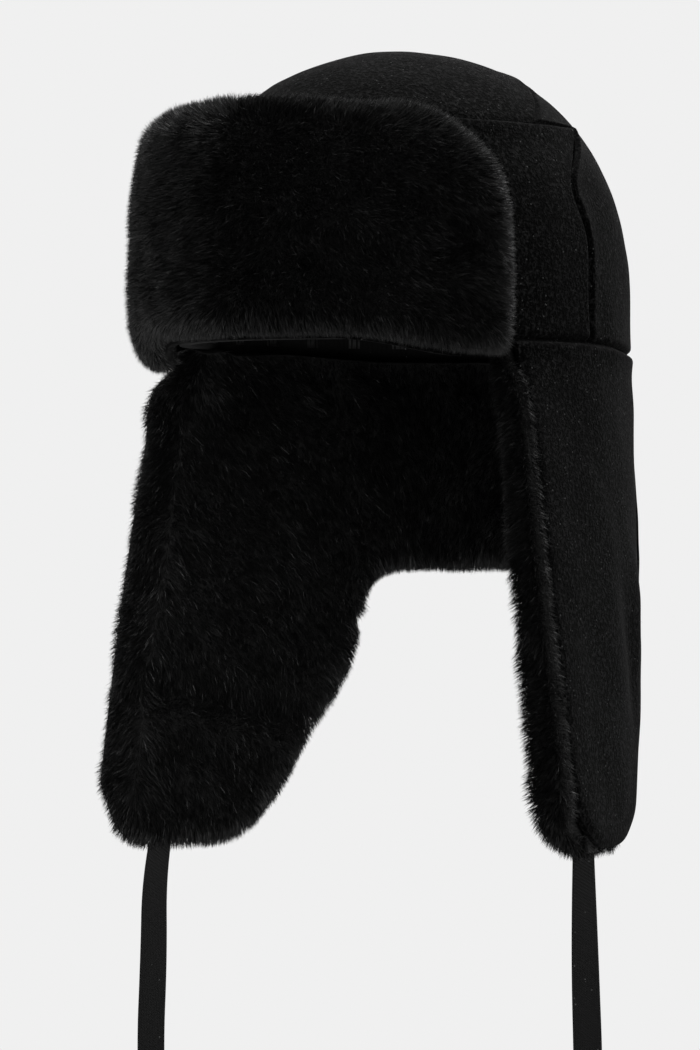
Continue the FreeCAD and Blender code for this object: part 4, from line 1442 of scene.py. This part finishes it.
# %% Floor
FLOOR_REACH = 1.5
FLOOR_HEIGHT = CAD_BOX[0][2] - 4 * MM
turn = np.linspace(0, 2 * math.pi, 97)[:-1]
reach = np.linspace(0.001, 1, 24)[:, None] * FLOOR_REACH
disc = np.broadcast_arrays(reach * np.cos(turn), reach * np.sin(turn), FLOOR_HEIGHT)
disc = np.stack(disc, axis=-1)
mesh = new_mesh("floor", disc.reshape(-1, 3), [grid_faces(24, 96, wrap=True)], tidy=True)
floor = bpy.data.objects.new("floor", mesh)
bpy.context.scene.collection.objects.link(floor)

BACKGROUND = 0.871
material, tree, shader = finish("pale_floor", Roughness=0.9, Specular_IOR_Level=0.1)
where = place(tree)
speckle = noise(tree, where, 30.0, 4)
tree.links.new(tint(tree, speckle, grey(0.80), grey(0.84)), shader.inputs["Base Color"])
far_out = node(tree, "ShaderNodeVectorMath", {"operation": "LENGTH"}, i0=where).outputs["Value"]
fade = ramp(tree, far_out, 0.6, FLOOR_REACH * 0.97)
glow = node(tree, "ShaderNodeEmission", Color=grey(BACKGROUND)).outputs[0]
rays = tree.nodes.new("ShaderNodeLightPath").outputs
seen = times(tree, fade, maths(tree, "MAXIMUM", rays["Is Camera Ray"], rays["Is Glossy Ray"]))
mixed = node(tree, "ShaderNodeMixShader", i0=seen, i1=shader.outputs[0], i2=glow)
tree.links.new(mixed.outputs[0], tree.nodes["Material Output"].inputs["Surface"])
floor.data.materials.append(material)
print("floor at", round(FLOOR_HEIGHT, 4))

# %% World and lamps
world = bpy.data.worlds.new("studio")
bpy.context.scene.world = world
world.use_nodes = True
tree = world.node_tree
rays = tree.nodes.new("ShaderNodeLightPath").outputs
shiny = maths(tree, "MAXIMUM", rays["Is Glossy Ray"], rays["Is Transmission Ray"])
seen = maths(tree, "MAXIMUM", rays["Is Camera Ray"], shiny)
back = tree.nodes["Background"]
tree.links.new(tint(tree, seen, grey(0.14), grey(BACKGROUND)), back.inputs["Color"])


def lamp(name, location, aim, size, watts):
    """A square soft lamp that faces a point."""
    data = bpy.data.lights.new(name, "AREA")
    data.shape, data.size, data.energy = "SQUARE", size, watts
    made = bpy.data.objects.new(name, data)
    bpy.context.scene.collection.objects.link(made)
    made.location = location
    ahead = unit(np.array(aim, float) - np.array(location, float))
    flat = math.hypot(ahead[0], ahead[1])
    made.rotation_euler = (math.atan2(flat, -ahead[2]), 0, math.atan2(-ahead[0], ahead[1]))
    return made


lamp("key_front_left", (-0.9, -1.9, 0.9), (0, 0, -0.05), 1.2, 15)
lamp("fill_right", (1.6, -0.8, 0.35), (0, 0, -0.05), 1.0, 4.5)
lamp("top_light", (0.2, 0.7, 1.5), (0, 0, 0), 1.0, 34)
face_bounce = lamp("face_bounce", (0.03, -0.12, -0.13), (-0.12, -0.02, -0.13), 0.12, 0.16)
face_bounce.visible_camera = False
lamp("back_fill", (-1.4, 1.8, 0.5), (0, 0, -0.1), 1.2, 8)
